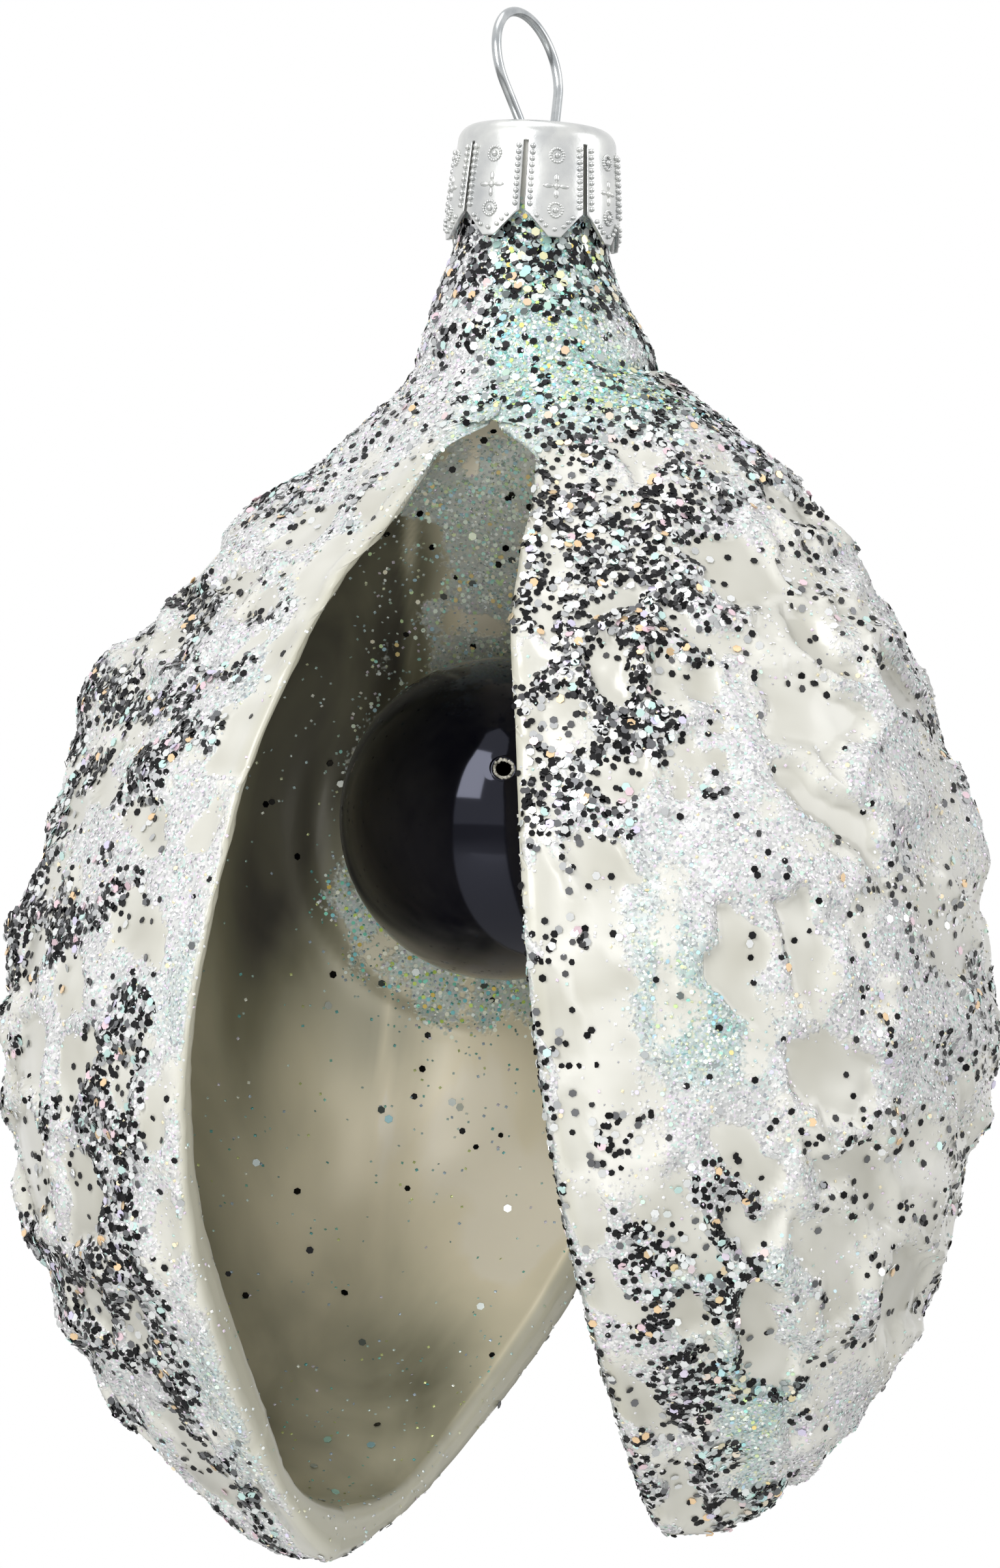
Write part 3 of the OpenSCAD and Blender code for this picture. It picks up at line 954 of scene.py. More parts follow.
def arch(drop):
    """1 above the mouth's arch, falling in a round curve to 0 where the mouth is fully open."""
    x = np.clip((drop - ARCH_DROP) / ARCH_RISE, 0, 1)
    return 1 - np.sqrt(1 - (1 - x) ** 2)


def rim_shift(side, drops):
    """The hand-cut mouth strays a little from the smooth curve of the valve's rim."""
    if side == LEFT:
        x = -1.0 * smoothstep(29.5, 34.5, drops) * fade(44, 60, drops)
    else:
        x = 0.6 * fade(28, 33, drops) - 0.5 * np.exp(-((drops - 38) / 5) ** 2)
        x = x * smoothstep(22.0, 24.5, drops)
    return np.stack([x, 0 * x], -1)


def skin(side, drops, columns, wall, dome=None):
    """Rows of points round one valve from its front rim to its back rim or seam."""
    drops = np.asarray(drops, float)
    meet = seam_angle(side, drops, wall, 0.0, -0.9)
    front = meet * arch(drops)
    back = seam_angle(side, drops, wall, math.pi / 2, math.pi)
    k = np.linspace(0, 1, columns)
    w = front[:, None] + (back - front)[:, None] * k[None, :]
    drop = np.broadcast_to(drops[:, None], w.shape)
    valve = valve_section(side, w, drop, wall)
    open_turn = math.radians(ARCH_OPEN[side]) * (1 - arch(drops))[:, None]
    omega = open_turn + (math.pi - open_turn) * k[None, :]
    radius = neck_radius(drops) - (HOLLOW_INSET if wall else 0)
    if dome is not None:
        radius = radius * dome
    round_part = (-np.cos(omega)[..., None] * yaw_dir(MEAN_YAW)
                  + np.sin(omega)[..., None] * out_dir(side, MEAN_YAW)) * radius[:, None, None]
    drift = np.stack([NECK_DRIFT * smoothstep(*DRIFT_DROPS, drops), 0 * drops], -1)[:, None, :]
    shared = smoothstep(*BLEND[0], drops)[:, None]
    own = smoothstep(*BLEND[side], drops)[:, None]
    blend = (shared + (own - shared) * np.sin(math.pi * k[None, :]) ** 2)[..., None]
    plan = (1 - blend) * (round_part + drift) + blend * valve
    plan = plan + rim_shift(side, drops)[:, None, :] * np.exp(-(k * 6) ** 2)[None, :, None]
    return np.concatenate([plan + CAP[:2], CAP[2] - drop[..., None]], -1)


def along(points):
    """Distance in mm from the front rim along each row."""
    step = np.linalg.norm(np.diff(points, axis=1), axis=-1)
    return np.concatenate([np.zeros((len(points), 1)), np.cumsum(step, axis=1)], axis=1)


def outward(points):
    """The direction out of a cup at each of its points."""
    down = np.gradient(points, axis=0)
    round_ = np.gradient(points, axis=1)
    n = np.cross(down, round_)
    middle = points.mean(axis=(0, 1))
    sign = np.sign((n * (points - middle)).sum(-1).mean())
    return unit(n * sign)


def cells(a, b, seed):
    """Irregular cells one unit across: how far inside its cell each point lies, and a random
    number of the cell's own."""
    base_a, base_b = np.floor(a), np.floor(b)
    nearest = np.full(a.shape, 9.0)
    second = np.full(a.shape, 9.0)
    chance = np.zeros(a.shape)
    for i in (-1, 0, 1):
        for j in (-1, 0, 1):
            place = np.stack([base_a + i, base_b + j, np.zeros_like(base_a)], -1)
            dx = place[..., 0] + 0.5 + 0.78 * (lattice(place, seed) - 0.5) - a
            dy = place[..., 1] + 0.5 + 0.78 * (lattice(place, seed + 7) - 0.5) - b
            away = np.sqrt(dx * dx + dy * dy)
            closer = away < nearest
            second = np.where(closer, nearest, np.minimum(second, away))
            chance = np.where(closer, lattice(place, seed + 13), chance)
            nearest = np.where(closer, away, nearest)
    return second - nearest, chance


def pocket_depth(side, reach, drop, points):
    """0 on the ribs, up to 1 at the bottom of a sunken pocket; and 1 on the ribs' own crests."""
    a = reach + layered(points, (1.7, 5.0, 5), (0.7, 1.9, 6))
    b = drop + layered(points, (1.5, 5.0, 9), (0.7, 1.9, 10)) - side * 0.12 * reach
    wide = 3.6 * np.log1p(np.clip(a, 0, None) / 13.0) + np.minimum(a, 0) / 4
    tall = POCKET_TALL[side] + POCKET_GROWTH * drop
    inside, chance = cells(wide, b / tall, SEED + side)
    deep = np.clip((chance - 0.2) * 5, 0, 1) * (0.55 + 0.45 * chance)
    soft = layered(points, (0.16, 1.5, 15), (0.08, 0.8, 16))
    pocket = smoothstep(0.08, 0.46, inside + soft) * deep
    rib = fade(0.0, 0.22, inside)
    return pocket, rib


def relief(side, points):
    """The worked outer skin: its height in mm, how deep each point sits in a pocket, and each
    point's distance from the front rim and drop."""
    reach = along(points)
    drop = CAP[2] - points[..., 2]
    pocket, rib = pocket_depth(side, reach, drop, points)
    total = reach[:, -1:]
    rim = smoothstep(0.3, 3.2, reach) * smoothstep(0.0, 1.5, total - reach)
    top = smoothstep(21.5, 27.0, drop)
    tip = smoothstep(0, 4, HINGE_DROP + VALVES[side]["length"] - drop)
    waves = layered(points * [1.0, 1.0, 1.5], (0.85, 9.0, 31), (0.5, 4.4, 37))
    fine = layered(points, (0.12, 1.5, 41), (0.08, 0.8, 43))
    film_skin = (1 - pocket) * fine + 0.12 * fade(0.3, 0.6, pocket) * top
    rugged = 1 + ROUGHER[side] * smoothstep(14, 30, reach)
    height = (waves * rugged - 0.45 + 0.3 * rib - 0.95 * pocket) * rim * top * tip + film_skin
    deepest = 0.25 + (DEEPEST - 0.25) * np.maximum(smoothstep(3, 9, reach), smoothstep(84, 96, drop))
    shallow = deepest * 0.6
    over = np.clip(-shallow - height, 0, None)
    room = deepest - shallow
    height = np.where(over > 0, -shallow - room * (1 - np.exp(-over / room)), height)
    return height, pocket, reach, drop


def glitter_masks(side, points, pocket, reach, drop):
    """Where the fine film, the big dark flakes and the aqua tint lie. Film keeps to the land
    between pockets; dark flakes keep to clusters and slide off the pockets."""
    clusters = 0.65 * noise(points * [1, 1, 1.5], 3.2, 51) + 0.45 * noise(points, 7.5, 53)
    land = fade(0.3, 0.75, pocket)
    patch = noise(points, 9.0, 55)
    if side == RIGHT:
        bare = smoothstep(50, 56, drop) * fade(72, 80, drop)
        bare = bare * fade(4.0, 8.5, reach) * smoothstep(0.4, 1.0, reach)
        band = 0.45 * fade(9, 14, reach) * fade(46, 54, drop)
        far = smoothstep(11, 20, reach) * 0.6
        film = land * np.clip(1 - 0.9 * bare - band - far * (0.75 + 0.9 * patch), 0.05, 1)
        upper = fade(8, 18, reach) * fade(47, 55, drop)
        middle = 0.6 * fade(3, 9, reach) * smoothstep(47, 53, drop)
        low = 0.9 * smoothstep(70, 78, drop) * fade(11, 17, reach) * smoothstep(1, 3, reach)
        top = 0.9 * fade(24, 32, drop) * smoothstep(6, 12, reach)
        dark = np.clip(np.maximum(np.maximum(upper, middle), np.maximum(low, top)), 0.14, 1)
        aqua = fade(12, 20, reach) * smoothstep(4, 9, reach) * smoothstep(50, 58, drop)
        aqua = 0.7 * aqua * smoothstep(-0.35, 0.25, patch)
        threshold = -0.3 * upper - 0.1 * top - 0.12 * low
    else:
        edge_bare = fade(1.2, 2.6, reach) * fade(36, 60, drop)
        film = land * np.clip(1.05 - 0.5 * smoothstep(10, 20, reach) * (0.5 + patch), 0, 1)
        film = film * (1 - 0.8 * edge_bare)
        dark = np.clip(1.15 - smoothstep(28, 42, reach), 0.22, 1) * smoothstep(2.4, 4.0, reach)
        dark = dark * (0.4 + 0.6 * smoothstep(26, 36, drop))
        aqua = 0.35 * fade(1.5, 5, reach) * smoothstep(-0.3, 0.3, patch)
        threshold = -0.1
    dark = dark * smoothstep(threshold - 0.03, threshold + 0.15, clusters)
    swept = smoothstep(*SWEPT[side], pocket)
    dark = dark * (1 - 0.88 * swept) + 0.012
    speckle = smoothstep(-0.7, 0.1, noise(points, 2.2, 57))
    film = film * (0.4 + 0.6 * speckle)
    return np.clip(film, 0, 1), np.clip(dark, 0, 1), np.clip(aqua, 0, 1)


def neck_masks(points, drop, normals):
    """On the neck: a dark collar under the cap, dark sides and an aqua patch in front."""
    turn = math.radians(AQUA_TURN)
    facing = normals[..., 0] * math.sin(turn) - normals[..., 1] * math.cos(turn)
    clusters = layered(points, (0.6, 3.0, 61), (0.5, 6.0, 63))
    collar = smoothstep(7.0, 8.0, drop) * fade(11.5, 14.5, drop)
    sides = fade(0.6, 0.92, facing)
    dark = np.clip(collar * (1.2 + 1.3 * clusters), 0, 1)
    dark = np.maximum(dark, 0.85 * sides * smoothstep(-0.3, 0.1, clusters))
    left = fade(-1, 5, points[..., 0] - CAP[0])
    dark = dark * (1 - 0.85 * left * smoothstep(13.5, 18, drop))
    dark = np.clip(dark + 0.1, 0, 1) * smoothstep(6.5, 7.5, drop)
    film = smoothstep(5.0, 7.0, drop) * (0.85 + 0.15 * clusters)
    low = 0.15 * smoothstep(11, 20, drop)
    aqua = 0.85 * smoothstep(0.6, 1.0, facing + 0.45 * clusters + low)
    return np.clip(film, 0, 1), np.clip(dark, 0, 1), aqua


def shell_drops(top, bottom, rows):
    """The drop of each row, closer together towards both ends."""
    k = np.linspace(0, 1, rows)
    eased = k - 0.11 * np.sin(2 * math.pi * k) / math.pi
    return top + (bottom - top) * eased


def rim_bow(outer, inner, away):
    """Rounded lip points between the outer and the inner skin's edges."""
    rows = []
    for k in range(1, LIP_STEPS):
        f = k / LIP_STEPS
        width = np.linalg.norm(inner - outer, axis=-1, keepdims=True)
        bulge = LIP_BULGE * width * math.sin(math.pi * f)
        rows.append(outer + (inner - outer) * f + away * np.clip(bulge, 0, LIP_MOST))
    return np.stack(rows, axis=1)


def inside_masks(points):
    """On the silvered inside: fine glitter, stray dark flakes, aqua, sparks, painted light and
    shade.
    """
    drop = CAP[2] - points[..., 2]
    film = inner_glitter(points, drop)
    return {
        "film": film,
        "dark": 0.005 + 0.02 * film,
        "aqua": 0.55 + 0.4 * smoothstep(44, 52, drop),
        "spark": 2.2 * film * smoothstep(0.12, 0.5, film),
        "painted_light_and_shade": np.clip(inside_painted_light(points, drop) + 0.55 * mould_seam_highlight(points, drop), 0, 1),
    }


def valve(side, name, material):
    """One half of the shell, a closed wall from the neck's foot to its tip."""
    length = VALVES[side]["length"]
    outer_drops = shell_drops(NECK_DROP, HINGE_DROP + length, SHELL_ROWS)
    inner_drops = shell_drops(VAULT_DROP, HINGE_DROP + length - TIP_WALL, SHELL_ROWS)
    outer = skin(side, outer_drops, OUTER_COLUMNS, 0.0)
    dome = np.sqrt(1 - (1 - np.clip((inner_drops - VAULT_DROP) / VAULT_RISE, 0, 1)) ** 2)
    inner = skin(side, inner_drops, INNER_COLUMNS, VALVE_WALL, dome)
    inner = inner + outward(inner) * inner_relief(side, inner)[..., None]

    # Towards the cut mouth the wall thins, less so near the tip
    rim = np.stack([np.interp(inner_drops, outer_drops, outer[:, 0, i]) for i in (0, 1)], -1)
    thin = RIM_THINNING * fade(60, 88, inner_drops)[:, None] * (rim - inner[:, 0, :2])
    from_rim = np.linspace(0, 1, INNER_COLUMNS) * 9
    inner[..., :2] += thin[:, None, :] * np.exp(-from_rim ** 2)[None, :, None]

    height, pocket, reach, drop = relief(side, outer)
    normals = outward(outer)
    normals[-1] = [0, 0, -1]
    outer = outer + normals * height[..., None]
    masks = glitter_masks(side, outer, pocket, reach, drop)
    upper = fade(NECK_DROP, NECK_MASK_END, drop)
    film, dark, aqua = (mask * (1 - upper) + neck_mask * upper for mask, neck_mask
                        in zip(masks, neck_masks(outer, drop, normals)))
    edge = smoothstep(1.0, 0.0, reach)

    # Above the first row the wall is closed under the neck, out of sight
    roof = outer[:1].mean(axis=1, keepdims=True) + [0, 0, ROOF_RISE]
    outer = np.concatenate([np.repeat(roof, OUTER_COLUMNS, axis=1), outer])
    inner = np.concatenate([inner[:1], inner])
    film, dark, aqua, pocket, edge = (
        np.concatenate([np.zeros((1, OUTER_COLUMNS)), mask])
        for mask in (film, dark, aqua, pocket, edge))

    front_away = unit(outer[:, 0] - outer[:, 2])
    back_away = unit(outer[:, -1] - outer[:, -3])
    front_away[0] = back_away[0] = 0
    open_back = seam_angle(side, outer_drops, 0.0, math.pi / 2, math.pi) >= math.pi - 1e-6
    back_away = back_away * np.concatenate([[0], open_back])[:, None]
    front_lip = rim_bow(outer[:, 0], inner[:, 0], front_away)
    back_lip = rim_bow(outer[:, -1], inner[:, -1], back_away)
    inner = inner[:, ::-1]
    parts = [outer, back_lip, inner, front_lip[:, ::-1]]

    def ring(on_outer, on_lip, on_inner):
        values = (on_outer, on_lip, on_inner, on_lip)
        return np.concatenate([np.zeros(part.shape[:2]) + value
                               for part, value in zip(parts, values)], axis=1).ravel()

    lip_drop = CAP[2] - outer[:, :1, 2]
    low_lip = smoothstep(50, 62, lip_drop) if side == RIGHT else 0.0
    high_lip = fade(24, 33, lip_drop)
    within = inside_masks(inner)
    around = np.concatenate(parts, axis=1)
    piece = make_piece(name, around.reshape(-1, 3), grid_faces(*around.shape[:2]), {
        "film": ring(film, np.clip(0.1 + 0.9 * low_lip + 0.8 * high_lip, 0, 1), within["film"]),
        "dark": ring(dark, 0.5 * low_lip, within["dark"]),
        "aqua": ring(aqua, 0.2 + 0.4 * high_lip, within["aqua"]),
        "inside": ring(0.0, 0.0, 1.0),
        "lip": ring(edge * (1 - film) * 0.6, 1.0 - 0.9 * low_lip - 0.9 * high_lip, 0.0),
        "spark": ring(film * (0.12 + aqua), 0.5 * high_lip, within["spark"]),
        # Painted shade in the outer pockets, and the inside's painted light and shade
        "painted_light_and_shade": ring(pocket, 0.0, within["painted_light_and_shade"]),
    })
    finish_piece(piece, material, "frosted_glass", "ornament",
                 "left_valve" if side == LEFT else "right_valve")
    return piece


def inside_painted_light(points, drop):
    """Painted light and shade on the silvered inside: painted shade high on the left, warm
    painted light low in the middle.
    """
    x = points[..., 0] - CAP[0]
    light = SILVER_PAINTED_LEVEL
    for gain, at_x, at_drop, wide, tall in LIT_AND_SHADED_SPOTS:
        light = light + gain * np.exp(-((x - at_x) / wide) ** 2 - ((drop - at_drop) / tall) ** 2)
    # Painted shade low down on the left
    light = light - 0.3 * smoothstep(78, 92, drop) * fade(-4, 5, x)
    runs = noise(points * [1, 1, 0.35], 5.0, 77) + 0.6 * noise(points * [1, 1, 0.2], 2.2, 79)
    return np.clip(light + 0.1 * runs, 0, 1)


def pearl_polar(points):
    """Distance and angle round the pearl's middle as seen through the mouth."""
    x = points[..., 0] - PEARL[0]
    z = points[..., 2] - PEARL[2]
    return np.hypot(x, z), np.degrees(np.arctan2(z, x))


def inner_relief(side, points):
    """Soft waves of blown glass, and on the left the pressed ring that the pearl sits in."""
    waves = layered(points, (0.25, 12.0, 91), (0.07, 4.0, 93)) - 0.3
    if side == RIGHT:
        return waves
    away, angle = pearl_polar(points)
    lower_left = smoothstep(150, 175, angle % 360) * fade(255, 285, angle % 360)
    ring = np.exp(-((away - 13.6) / 0.55) ** 2) - 0.6 * np.exp(-((away - 14.9) / 0.6) ** 2)
    return waves + 0.13 * ring * lower_left


def mould_seam_highlight(points, drop):
    """A painted highlight along the seam that the mould left down the back wall, broken in places.
    """
    x = points[..., 0] - CAP[0] + MOULD_LEFT + 0.5 * noise(points, 9.0, 95)
    back = smoothstep(0.0, 3.0, points[..., 1] - CAP[1])
    line = np.exp(-(x / MOULD_HALF) ** 2) * back
    unbroken = smoothstep(-0.5, 0.3, noise(points, 5.0, 97))
    high = smoothstep(24, 27, drop) * fade(36, 42, drop)
    low = 0.45 * smoothstep(58, 61, drop) * fade(76, 82, drop)
    return 0.8 * line * (0.35 + 0.65 * unbroken) * (high + low)


def inner_glitter(points, drop):
    """Fine glitter inside: a crescent of glue under the pearl and a haze on the wall above it."""
    away, angle = pearl_polar(points)
    below = smoothstep(185, 225, angle % 360) * fade(330, 350, angle % 360)
    crescent = smoothstep(9.5, 10.5, away) * fade(12.6, 16.5, away) * below
    wreath = smoothstep(9.5, 10.5, away) * fade(11.5, 13.5, away) * 0.3
    high = fade(38, 54, drop) * smoothstep(20, 23, drop)
    x = points[..., 0] - CAP[0] + 1.6 * noise(points, 5.0, 85) + 0.8 * noise(points, 1.8, 87)
    x = x + 4.0 * fade(23, 30, drop)
    haze = high * (1.0 * smoothstep(-8.6, -1.0, x) + 0.3 * smoothstep(-12.5, -10.0, x))
    stray = 0.03 + 0.05 * (noise(points, 8.0, 83) > 0.2)
    patchy = 0.85 + 0.5 * noise(points, 2.6, 81) + 0.6 * noise(points * [1, 1, 0.5], 1.4, 89)
    back = smoothstep(-6.0, 0.0, points[..., 1] - CAP[1])
    return np.clip((0.85 * crescent + wreath + haze) * patchy * back + stray, 0, 1.8)


def neck(material):
    """The neck's pipe and flare, one closed wall that the cap grips."""
    drops = np.concatenate([[NECK_TOP], np.linspace(NECK_TOP + 0.15, NECK_DROP, 46)])
    sides = [skin(side, drops, NECK_COLUMNS, 0.0) for side in (LEFT, RIGHT)]
    outer = np.concatenate([sides[0], sides[1][:, ::-1]], axis=1)
    middle = outer.mean(axis=1, keepdims=True)
    radial = unit((outer - middle) * [1, 1, 0])
    drop = CAP[2] - outer[..., 2]
    bumps = 0.22 * noise(outer, 4.0, 71) * smoothstep(9, 13, drop) * fade(18, 20.8, drop)
    fine = 0.07 * noise(outer, 1.3, 41)
    inner = outer - radial * NECK_WALL
    outer = outer + radial * (bumps + fine * smoothstep(6, 9, drop))[..., None]
    film, dark, aqua = neck_masks(outer, drop, radial)
    lip_top = (outer[:1] + inner[:1]) / 2 + [0, 0, 0.12]
    lip_low = (outer[-1:] + inner[-1:]) / 2
    stack = np.concatenate([lip_top, outer, lip_low, inner[::-1]])
    rows = len(stack)
    around = stack.shape[1]
    blank = np.zeros((rows - len(outer) - 1, around))
    first = np.zeros((1, around))
    masks = {key: np.concatenate([first, value, blank]).ravel()
             for key, value in (("film", film), ("dark", dark), ("aqua", aqua),
                                ("spark", film * aqua))}
    for key in ("inside", "lip", "painted_light_and_shade"):
        masks[key] = np.zeros(rows * around)
    piece = make_piece("blown_neck", stack.reshape(-1, 3), grid_faces(rows, around, closed=True),
                       masks)
    finish_piece(piece, material, "frosted_glass", "ornament", "neck")
    return piece


# ---------------------------------------------------------------- glitter

def glitter_tree(name, mask, sides, low_cone):
    """Strews flakes over a surface by one of its masks: each lies flat but for a small tilt,
    with its own size and tint. The tint is kept for the foil's colour."""
    tree, given = new_geometry_tree(name, {
        "Per square metre": "Float", "Flake radius": "Float", "Tilt": "Float", "Stand": "Float",
        "Seed": "Int", "Foil": "Material"})
    seed = given["Seed"]
    where = add(tree, "GeometryNodeInputNamedAttribute", {"Name": mask}, data_type="FLOAT")
    count = add(tree, "ShaderNodeMath", {
        0: where.outputs["Attribute"], 1: given["Per square metre"]}, operation="MULTIPLY")
    strewn = add(tree, "GeometryNodeDistributePointsOnFaces", {
        "Mesh": given["Geometry"], "Density": count.outputs["Value"], "Seed": seed},
        distribute_method="RANDOM")

    # Lift: the flakes lie at different heights in the glue
    lift = add(tree, "FunctionNodeRandomValue", {2: 0.25, 3: 1.0, "Seed": seed},
               data_type="FLOAT")
    height = add(tree, "ShaderNodeMath", {0: lift.outputs[1], 1: given["Stand"]},
                 operation="MULTIPLY")
    offset = add(tree, "ShaderNodeVectorMath", {
        "Vector": strewn.outputs["Normal"], "Scale": height.outputs["Value"]}, operation="SCALE")
    raised = add(tree, "GeometryNodeSetPosition", {
        "Geometry": strewn.outputs["Points"], "Offset": offset.outputs["Vector"]})

    # The flake itself: a thin plate, or a low cone where it is too small to show its edge
    thickness = add(tree, "ShaderNodeMath", {
        0: given["Flake radius"], 1: 0.3 if low_cone else 0.16}, operation="MULTIPLY")
    measures = {"Vertices": sides, "Depth": thickness.outputs["Value"]}
    if low_cone:
        flake = add(tree, "GeometryNodeMeshCone", {
            **measures, "Radius Top": 0.0, "Radius Bottom": given["Flake radius"]},
            fill_type="NGON")
    else:
        flake = add(tree, "GeometryNodeMeshCylinder", {
            **measures, "Radius": given["Flake radius"]}, fill_type="NGON")

    # Lean: a small tilt either way, and any turn about the surface's own direction
    back = add(tree, "ShaderNodeMath", {0: given["Tilt"], 1: -1.0}, operation="MULTIPLY")
    low = add(tree, "ShaderNodeCombineXYZ", {
        "X": back.outputs["Value"], "Y": back.outputs["Value"], "Z": 0.0})
    high = add(tree, "ShaderNodeCombineXYZ", {
        "X": given["Tilt"], "Y": given["Tilt"], "Z": FULL_TURN})
    lean = add(tree, "FunctionNodeRandomValue", {
        0: low.outputs["Vector"], 1: high.outputs["Vector"], "Seed": seed},
        data_type="FLOAT_VECTOR")
    turned = add(tree, "FunctionNodeEulerToRotation", {"Euler": lean.outputs[0]})
    laid = add(tree, "FunctionNodeRotateRotation", {
        "Rotation": strewn.outputs["Rotation"], "Rotate By": turned.outputs["Rotation"]},
        rotation_space="LOCAL")

    size = add(tree, "FunctionNodeRandomValue", {2: 0.78, 3: 1.15, "Seed": seed},
               data_type="FLOAT")
    placed = add(tree, "GeometryNodeInstanceOnPoints", {
        "Points": raised.outputs["Geometry"], "Instance": flake.outputs["Mesh"],
        "Rotation": laid.outputs["Rotation"], "Scale": size.outputs[1]})
    chance = add(tree, "FunctionNodeRandomValue", {"Seed": seed}, data_type="FLOAT")
    tinted = add(tree, "GeometryNodeStoreNamedAttribute", {
        "Geometry": placed.outputs["Instances"], "Value": chance.outputs[1], "Name": "tint"},
        data_type="FLOAT", domain="INSTANCE")
    end_geometry_tree(tree, tinted.outputs["Geometry"], given["Foil"])
    return tree


def strew(name, surface, tree, foil, per_mm2, radius, tilt, stand, seed):
    """One piece of glitter over a glass piece; it rides with the glass."""
    piece = grow(name, surface.data.copy(), tree, {
        "Per square metre": per_mm2 / MM ** 2, "Flake radius": radius * MM,
        "Tilt": math.radians(tilt), "Stand": stand * MM, "Seed": seed, "Foil": foil})
    keep = {"tint", "aqua", "position", "material_index", "sharp_face"}
    layers = piece.data.attributes
    for label in [layer.name for layer in layers if not layer.name.startswith(".")]:
        if label not in keep and not layers[label].is_required:
            layers.remove(layers[label])
    finish_piece(piece, None, "frosted_glass", "ornament")


# ---------------------------------------------------------------- pearl and glue

def pearl(material):
    """A hollow blown bead; its blowing hole faces forward and up, with a small rolled ring."""
    ring_start = math.asin(PEARL_HOLE_R / PEARL_R) * 1.5
    profile = [(PEARL_R * math.sin(a), PEARL_R * math.cos(a))
               for a in np.linspace(math.pi, ring_start, PEARL_ROWS)]
    ring_height = PEARL_R * math.cos(ring_start)
    for k in range(1, RING_STEPS):
        a = math.pi * k / RING_STEPS
        profile.append((PEARL_HOLE_R * (1 + 0.25 * math.cos(a)) + 0.08,
                        ring_height + 0.13 * math.sin(a) - 0.02 * k))
    inner = PEARL_R - PEARL_WALL
    profile += [(inner * math.sin(a), inner * math.cos(a))
                for a in np.linspace(math.asin(PEARL_HOLE_R / inner), math.pi, 30)]
    profile = np.array(profile)
    profile[:, 0] = np.maximum(profile[:, 0], 0)
    turn = np.linspace(0, 2 * math.pi, PEARL_SIDES, endpoint=False)
    rows = np.stack([profile[:, :1] * np.cos(turn), profile[:, :1] * np.sin(turn),
                     np.repeat(profile[:, 1:], PEARL_SIDES, 1)], -1)
    tilt = math.radians(90 - PEARL_HOLE_TILT)
    y = rows[..., 1] * math.cos(tilt) - rows[..., 2] * math.sin(tilt)
    z = rows[..., 1] * math.sin(tilt) + rows[..., 2] * math.cos(tilt)
    rows = np.stack([rows[..., 0], y, z], -1) + PEARL
    piece = make_piece("black_pearl", rows.reshape(-1, 3), grid_faces(len(rows), PEARL_SIDES),
                       weld=1e-7)
    finish_piece(piece, material, "black_glass", "ornament", "pearl")


def hole_ring(material):
    """The rough pale rim of broken glass round the bead's blowing hole."""
    tilt = math.radians(PEARL_HOLE_TILT)
    axis = np.array([0, -math.cos(tilt), math.sin(tilt)])
    side = np.array([1.0, 0, 0])
    up = np.cross(side, axis)
    spokes, sides = 48, 12
    around = np.linspace(0, 2 * math.pi, spokes, endpoint=False)
    section = np.linspace(0, 2 * math.pi, sides, endpoint=False)
    rng = np.random.default_rng(SEED)
    rough = 1 + 0.05 * rng.standard_normal((spokes, 1, 1))
    spoke = np.outer(np.cos(around), side) + np.outer(np.sin(around), up)
    reach = PEARL_HOLE_R - 0.04 + 0.12 * np.cos(section)
    lift = PEARL_R - 0.02 + 0.13 * np.sin(section)
    points = PEARL + spoke[:, None, :] * (reach[None, :, None] * rough ** 0.5)
    points = points + axis * lift[None, :, None] * rough ** 0.08
    piece = make_piece("pearl_hole_ring", points.reshape(-1, 3),
                       grid_faces(spokes, sides, closed=True))
    finish_piece(piece, material, "black_glass", "ornament")


def glue(material):
    """The bed of glitter glue between the pearl and the left valve, uneven at its edge."""
    axis = unit(node_middle("glitter_glue") - PEARL)
    side = unit(np.cross(axis, [0, 0, 1]))
    up = np.cross(side, axis)
    turn = np.linspace(0, 2 * math.pi, GLUE_SIDES, endpoint=False)
    rows = []
    spread = GLUE_SPREAD - 11 * np.sin(turn) + 3 * np.sin(turn * 3 + 1) + 3 * np.sin(turn * 7)
    for k in range(GLUE_STEPS + 1):
        rows.append((PEARL_R + 0.02, np.radians(spread * k / GLUE_STEPS)))
    for k in range(GLUE_STEPS, -1, -1):
        thick = 0.25 + 0.75 * (1 - (k / GLUE_STEPS) ** 4)
        rows.append((PEARL_R + thick * 0.9, np.radians(spread * k / GLUE_STEPS)))
    points = [PEARL + r * (np.outer(np.cos(a), axis)
                           + np.outer(np.sin(a) * np.cos(turn), np.ones(3)) * side
                           + np.outer(np.sin(a) * np.sin(turn), np.ones(3)) * up)
              for r, a in rows]
    points = np.stack(points)
    piece = make_piece("glitter_glue_bed", points.reshape(-1, 3),
                       grid_faces(len(points), GLUE_SIDES), weld=1e-7)
    finish_piece(piece, material, "glue", "ornament", "glitter_glue")


# ---------------------------------------------------------------- stage

def world_light(level):
    """An even white room: plain light on the object, pure white behind it and in its shine."""
    world = bpy.data.worlds.new("white_room")
    bpy.context.scene.world = world
    tree = cleared(world)
    rays = add(tree, "ShaderNodeLightPath").outputs
    through = add(tree, "ShaderNodeMath", {
        0: rays["Is Camera Ray"], 1: rays["Is Transmission Ray"]}, operation="MAXIMUM")
    seen = add(tree, "ShaderNodeMath", {
        0: through.outputs["Value"], 1: rays["Is Glossy Ray"]}, operation="MAXIMUM")
    strength = add(tree, "ShaderNodeMapRange", {
        "Value": seen.outputs["Value"], "To Min": level, "To Max": 1.0})
    light = add(tree, "ShaderNodeBackground", {
        "Color": linear("#FFFFFF"), "Strength": strength.outputs["Result"]})
    add(tree, "ShaderNodeOutputWorld", {"Surface": light.outputs["Background"]})


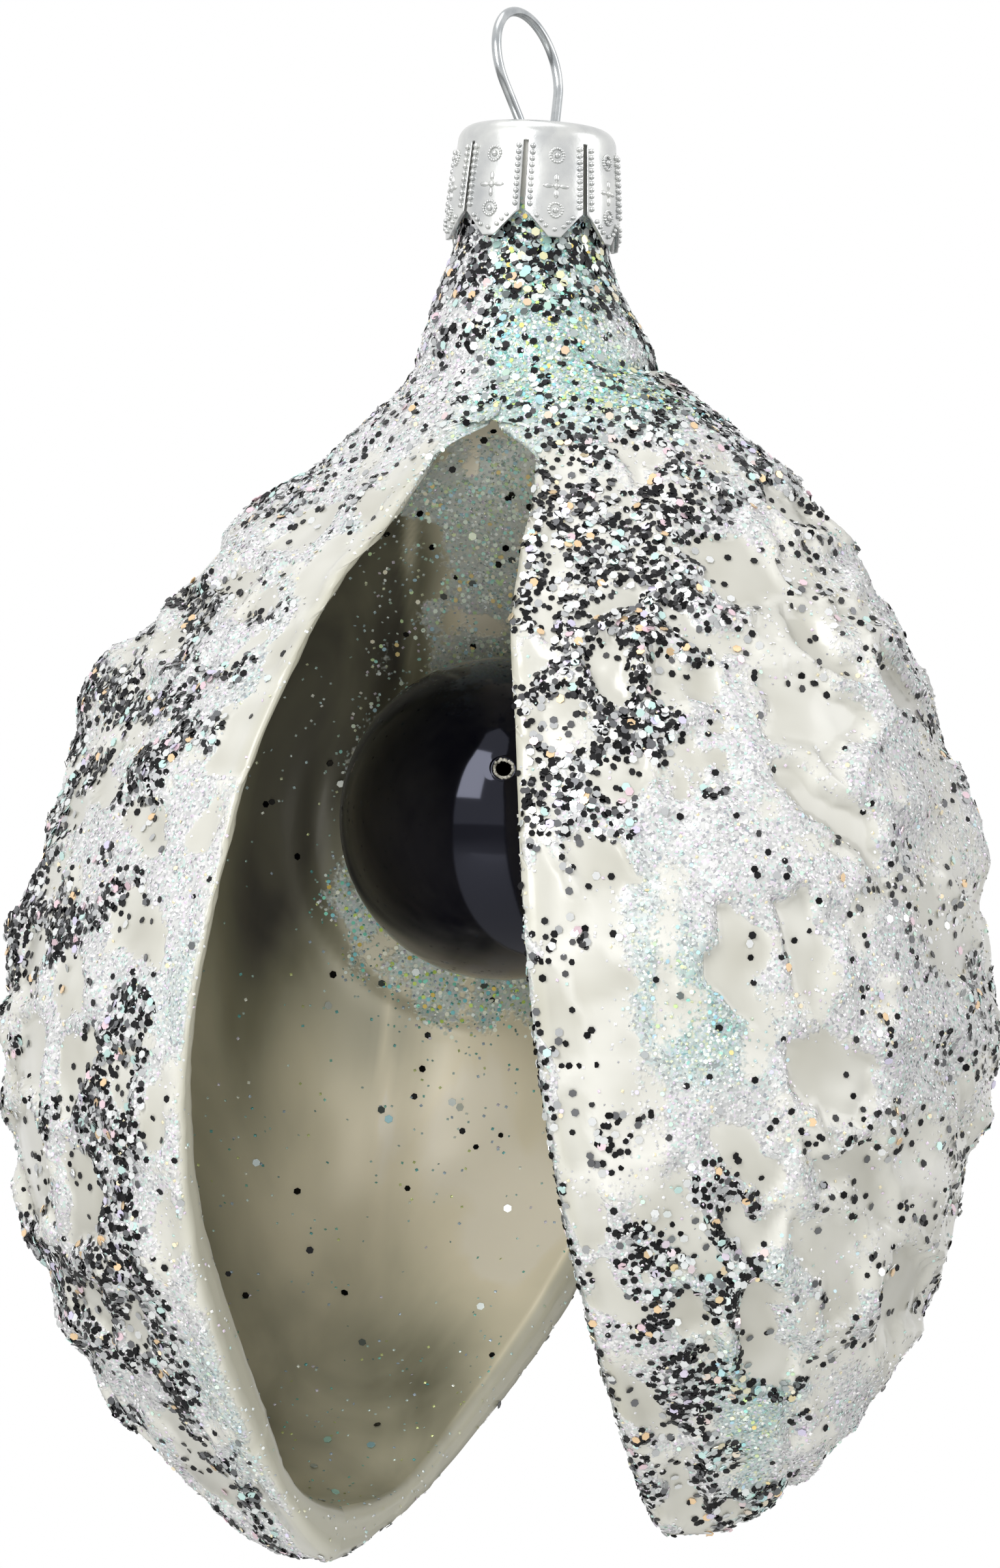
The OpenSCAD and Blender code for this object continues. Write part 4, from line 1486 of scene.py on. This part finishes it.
def soft_lamp(name, place, aim_height, width, height, watts, in_shine):
    """A soft box aimed at a height on the ornament's own upright line, all in metres."""
    data = bpy.data.lights.new(name, "AREA")
    data.shape = "RECTANGLE"
    data.size = width
    data.size_y = height
    data.energy = watts
    lamp = into_scene(name, data)
    lamp.location = place
    towards = Vector((0, 0, aim_height)) - Vector(place)
    lamp.rotation_euler = towards.to_track_quat("-Z", "Y").to_euler()
    lamp.visible_glossy = in_shine


def floor():
    """A broad pale floor well below the hanging ornament."""
    angles = np.linspace(0, 2 * math.pi, FLOOR_SIDES, endpoint=False)
    rim = np.stack([FLOOR_R * np.cos(angles), FLOOR_R * np.sin(angles),
                    np.full(FLOOR_SIDES, FLOOR_Z)], 1)
    mesh = bpy.data.meshes.new("floor")
    mesh.from_pydata((rim * MM).tolist(), [], [tuple(range(FLOOR_SIDES))])
    disc = into_scene("floor", mesh)
    material = bpy.data.materials.new("matt_white_floor")
    tree = cleared(material)
    diffuse = add(tree, "ShaderNodeBsdfDiffuse", {"Color": linear("#F2F2F0")})
    add(tree, "ShaderNodeOutputMaterial", {"Surface": diffuse.outputs["BSDF"]})
    mesh.materials.append(material)


def camera():
    """Looks up at the ornament from slightly below, rolled a little to one side."""
    tilt = math.radians(VIEW_TILT)
    roll = math.radians(VIEW_ROLL)
    forward = Vector((0, math.cos(tilt), -math.sin(tilt)))
    right = Vector((1, 0, 0))
    up = right.cross(forward)
    up_rolled = up * math.cos(roll) - right * math.sin(roll)
    right_rolled = right * math.cos(roll) + up * math.sin(roll)
    target = Vector(CAP * MM) + right * (VIEW_RIGHT * MM) - up * (VIEW_DROP * MM)
    place = target - forward * VIEW_DISTANCE
    data = bpy.data.cameras.new("camera")
    data.sensor_width = SENSOR_W
    data.lens = SENSOR_W * VIEW_DISTANCE / (VIEW_TALL * MM)
    data.clip_start = 0.05
    data.clip_end = 20.0
    seen = into_scene("camera", data)
    turn = Matrix((right_rolled, up_rolled, -forward)).transposed()
    seen.matrix_world = Matrix.Translation(place) @ turn.to_4x4()
    bpy.context.scene.camera = seen


# ---------------------------------------------------------------- the ornament

aluminium = stamped_aluminium()
glass = frosted_pearl_glass()
foils = {label: glitter_foil(label + "_foil", *FOILS[label]) for label in FOILS}

hanger_wire(drawn_steel_wire())
crown_cap(aluminium)
cap_beads(aluminium)
glass_parts = {
    "neck": neck(glass),
    "left": valve(LEFT, "left_shell_half", glass),
    "right": valve(RIGHT, "right_shell_half", glass),
}
pearl(black_pearl_glass())
hole_ring(broken_glass_edge())
glue(clear_glue())

for label, foil, (mask, sides, low_cone), rows in (
        ("hexagons", "hexagon", ("dark", 6, False), HEXAGONS),
        ("fine_glitter", "fine", ("film", 4, True), FINE_GLITTER),
        ("bright_glitter", "bright_aqua", ("spark", 6, False), BRIGHT_GLITTER)):
    flakes = glitter_tree(label, mask, sides, low_cone)
    for part, row in rows.items():
        strew(f"{part}_{label}", glass_parts[part], flakes, foils[foil], *row)

floor()
world_light(ROOM_LEVEL)
for name, measures in LAMPS.items():
    soft_lamp(name, *measures)
camera()

scene = bpy.context.scene
scene.view_settings.view_transform = "Standard"
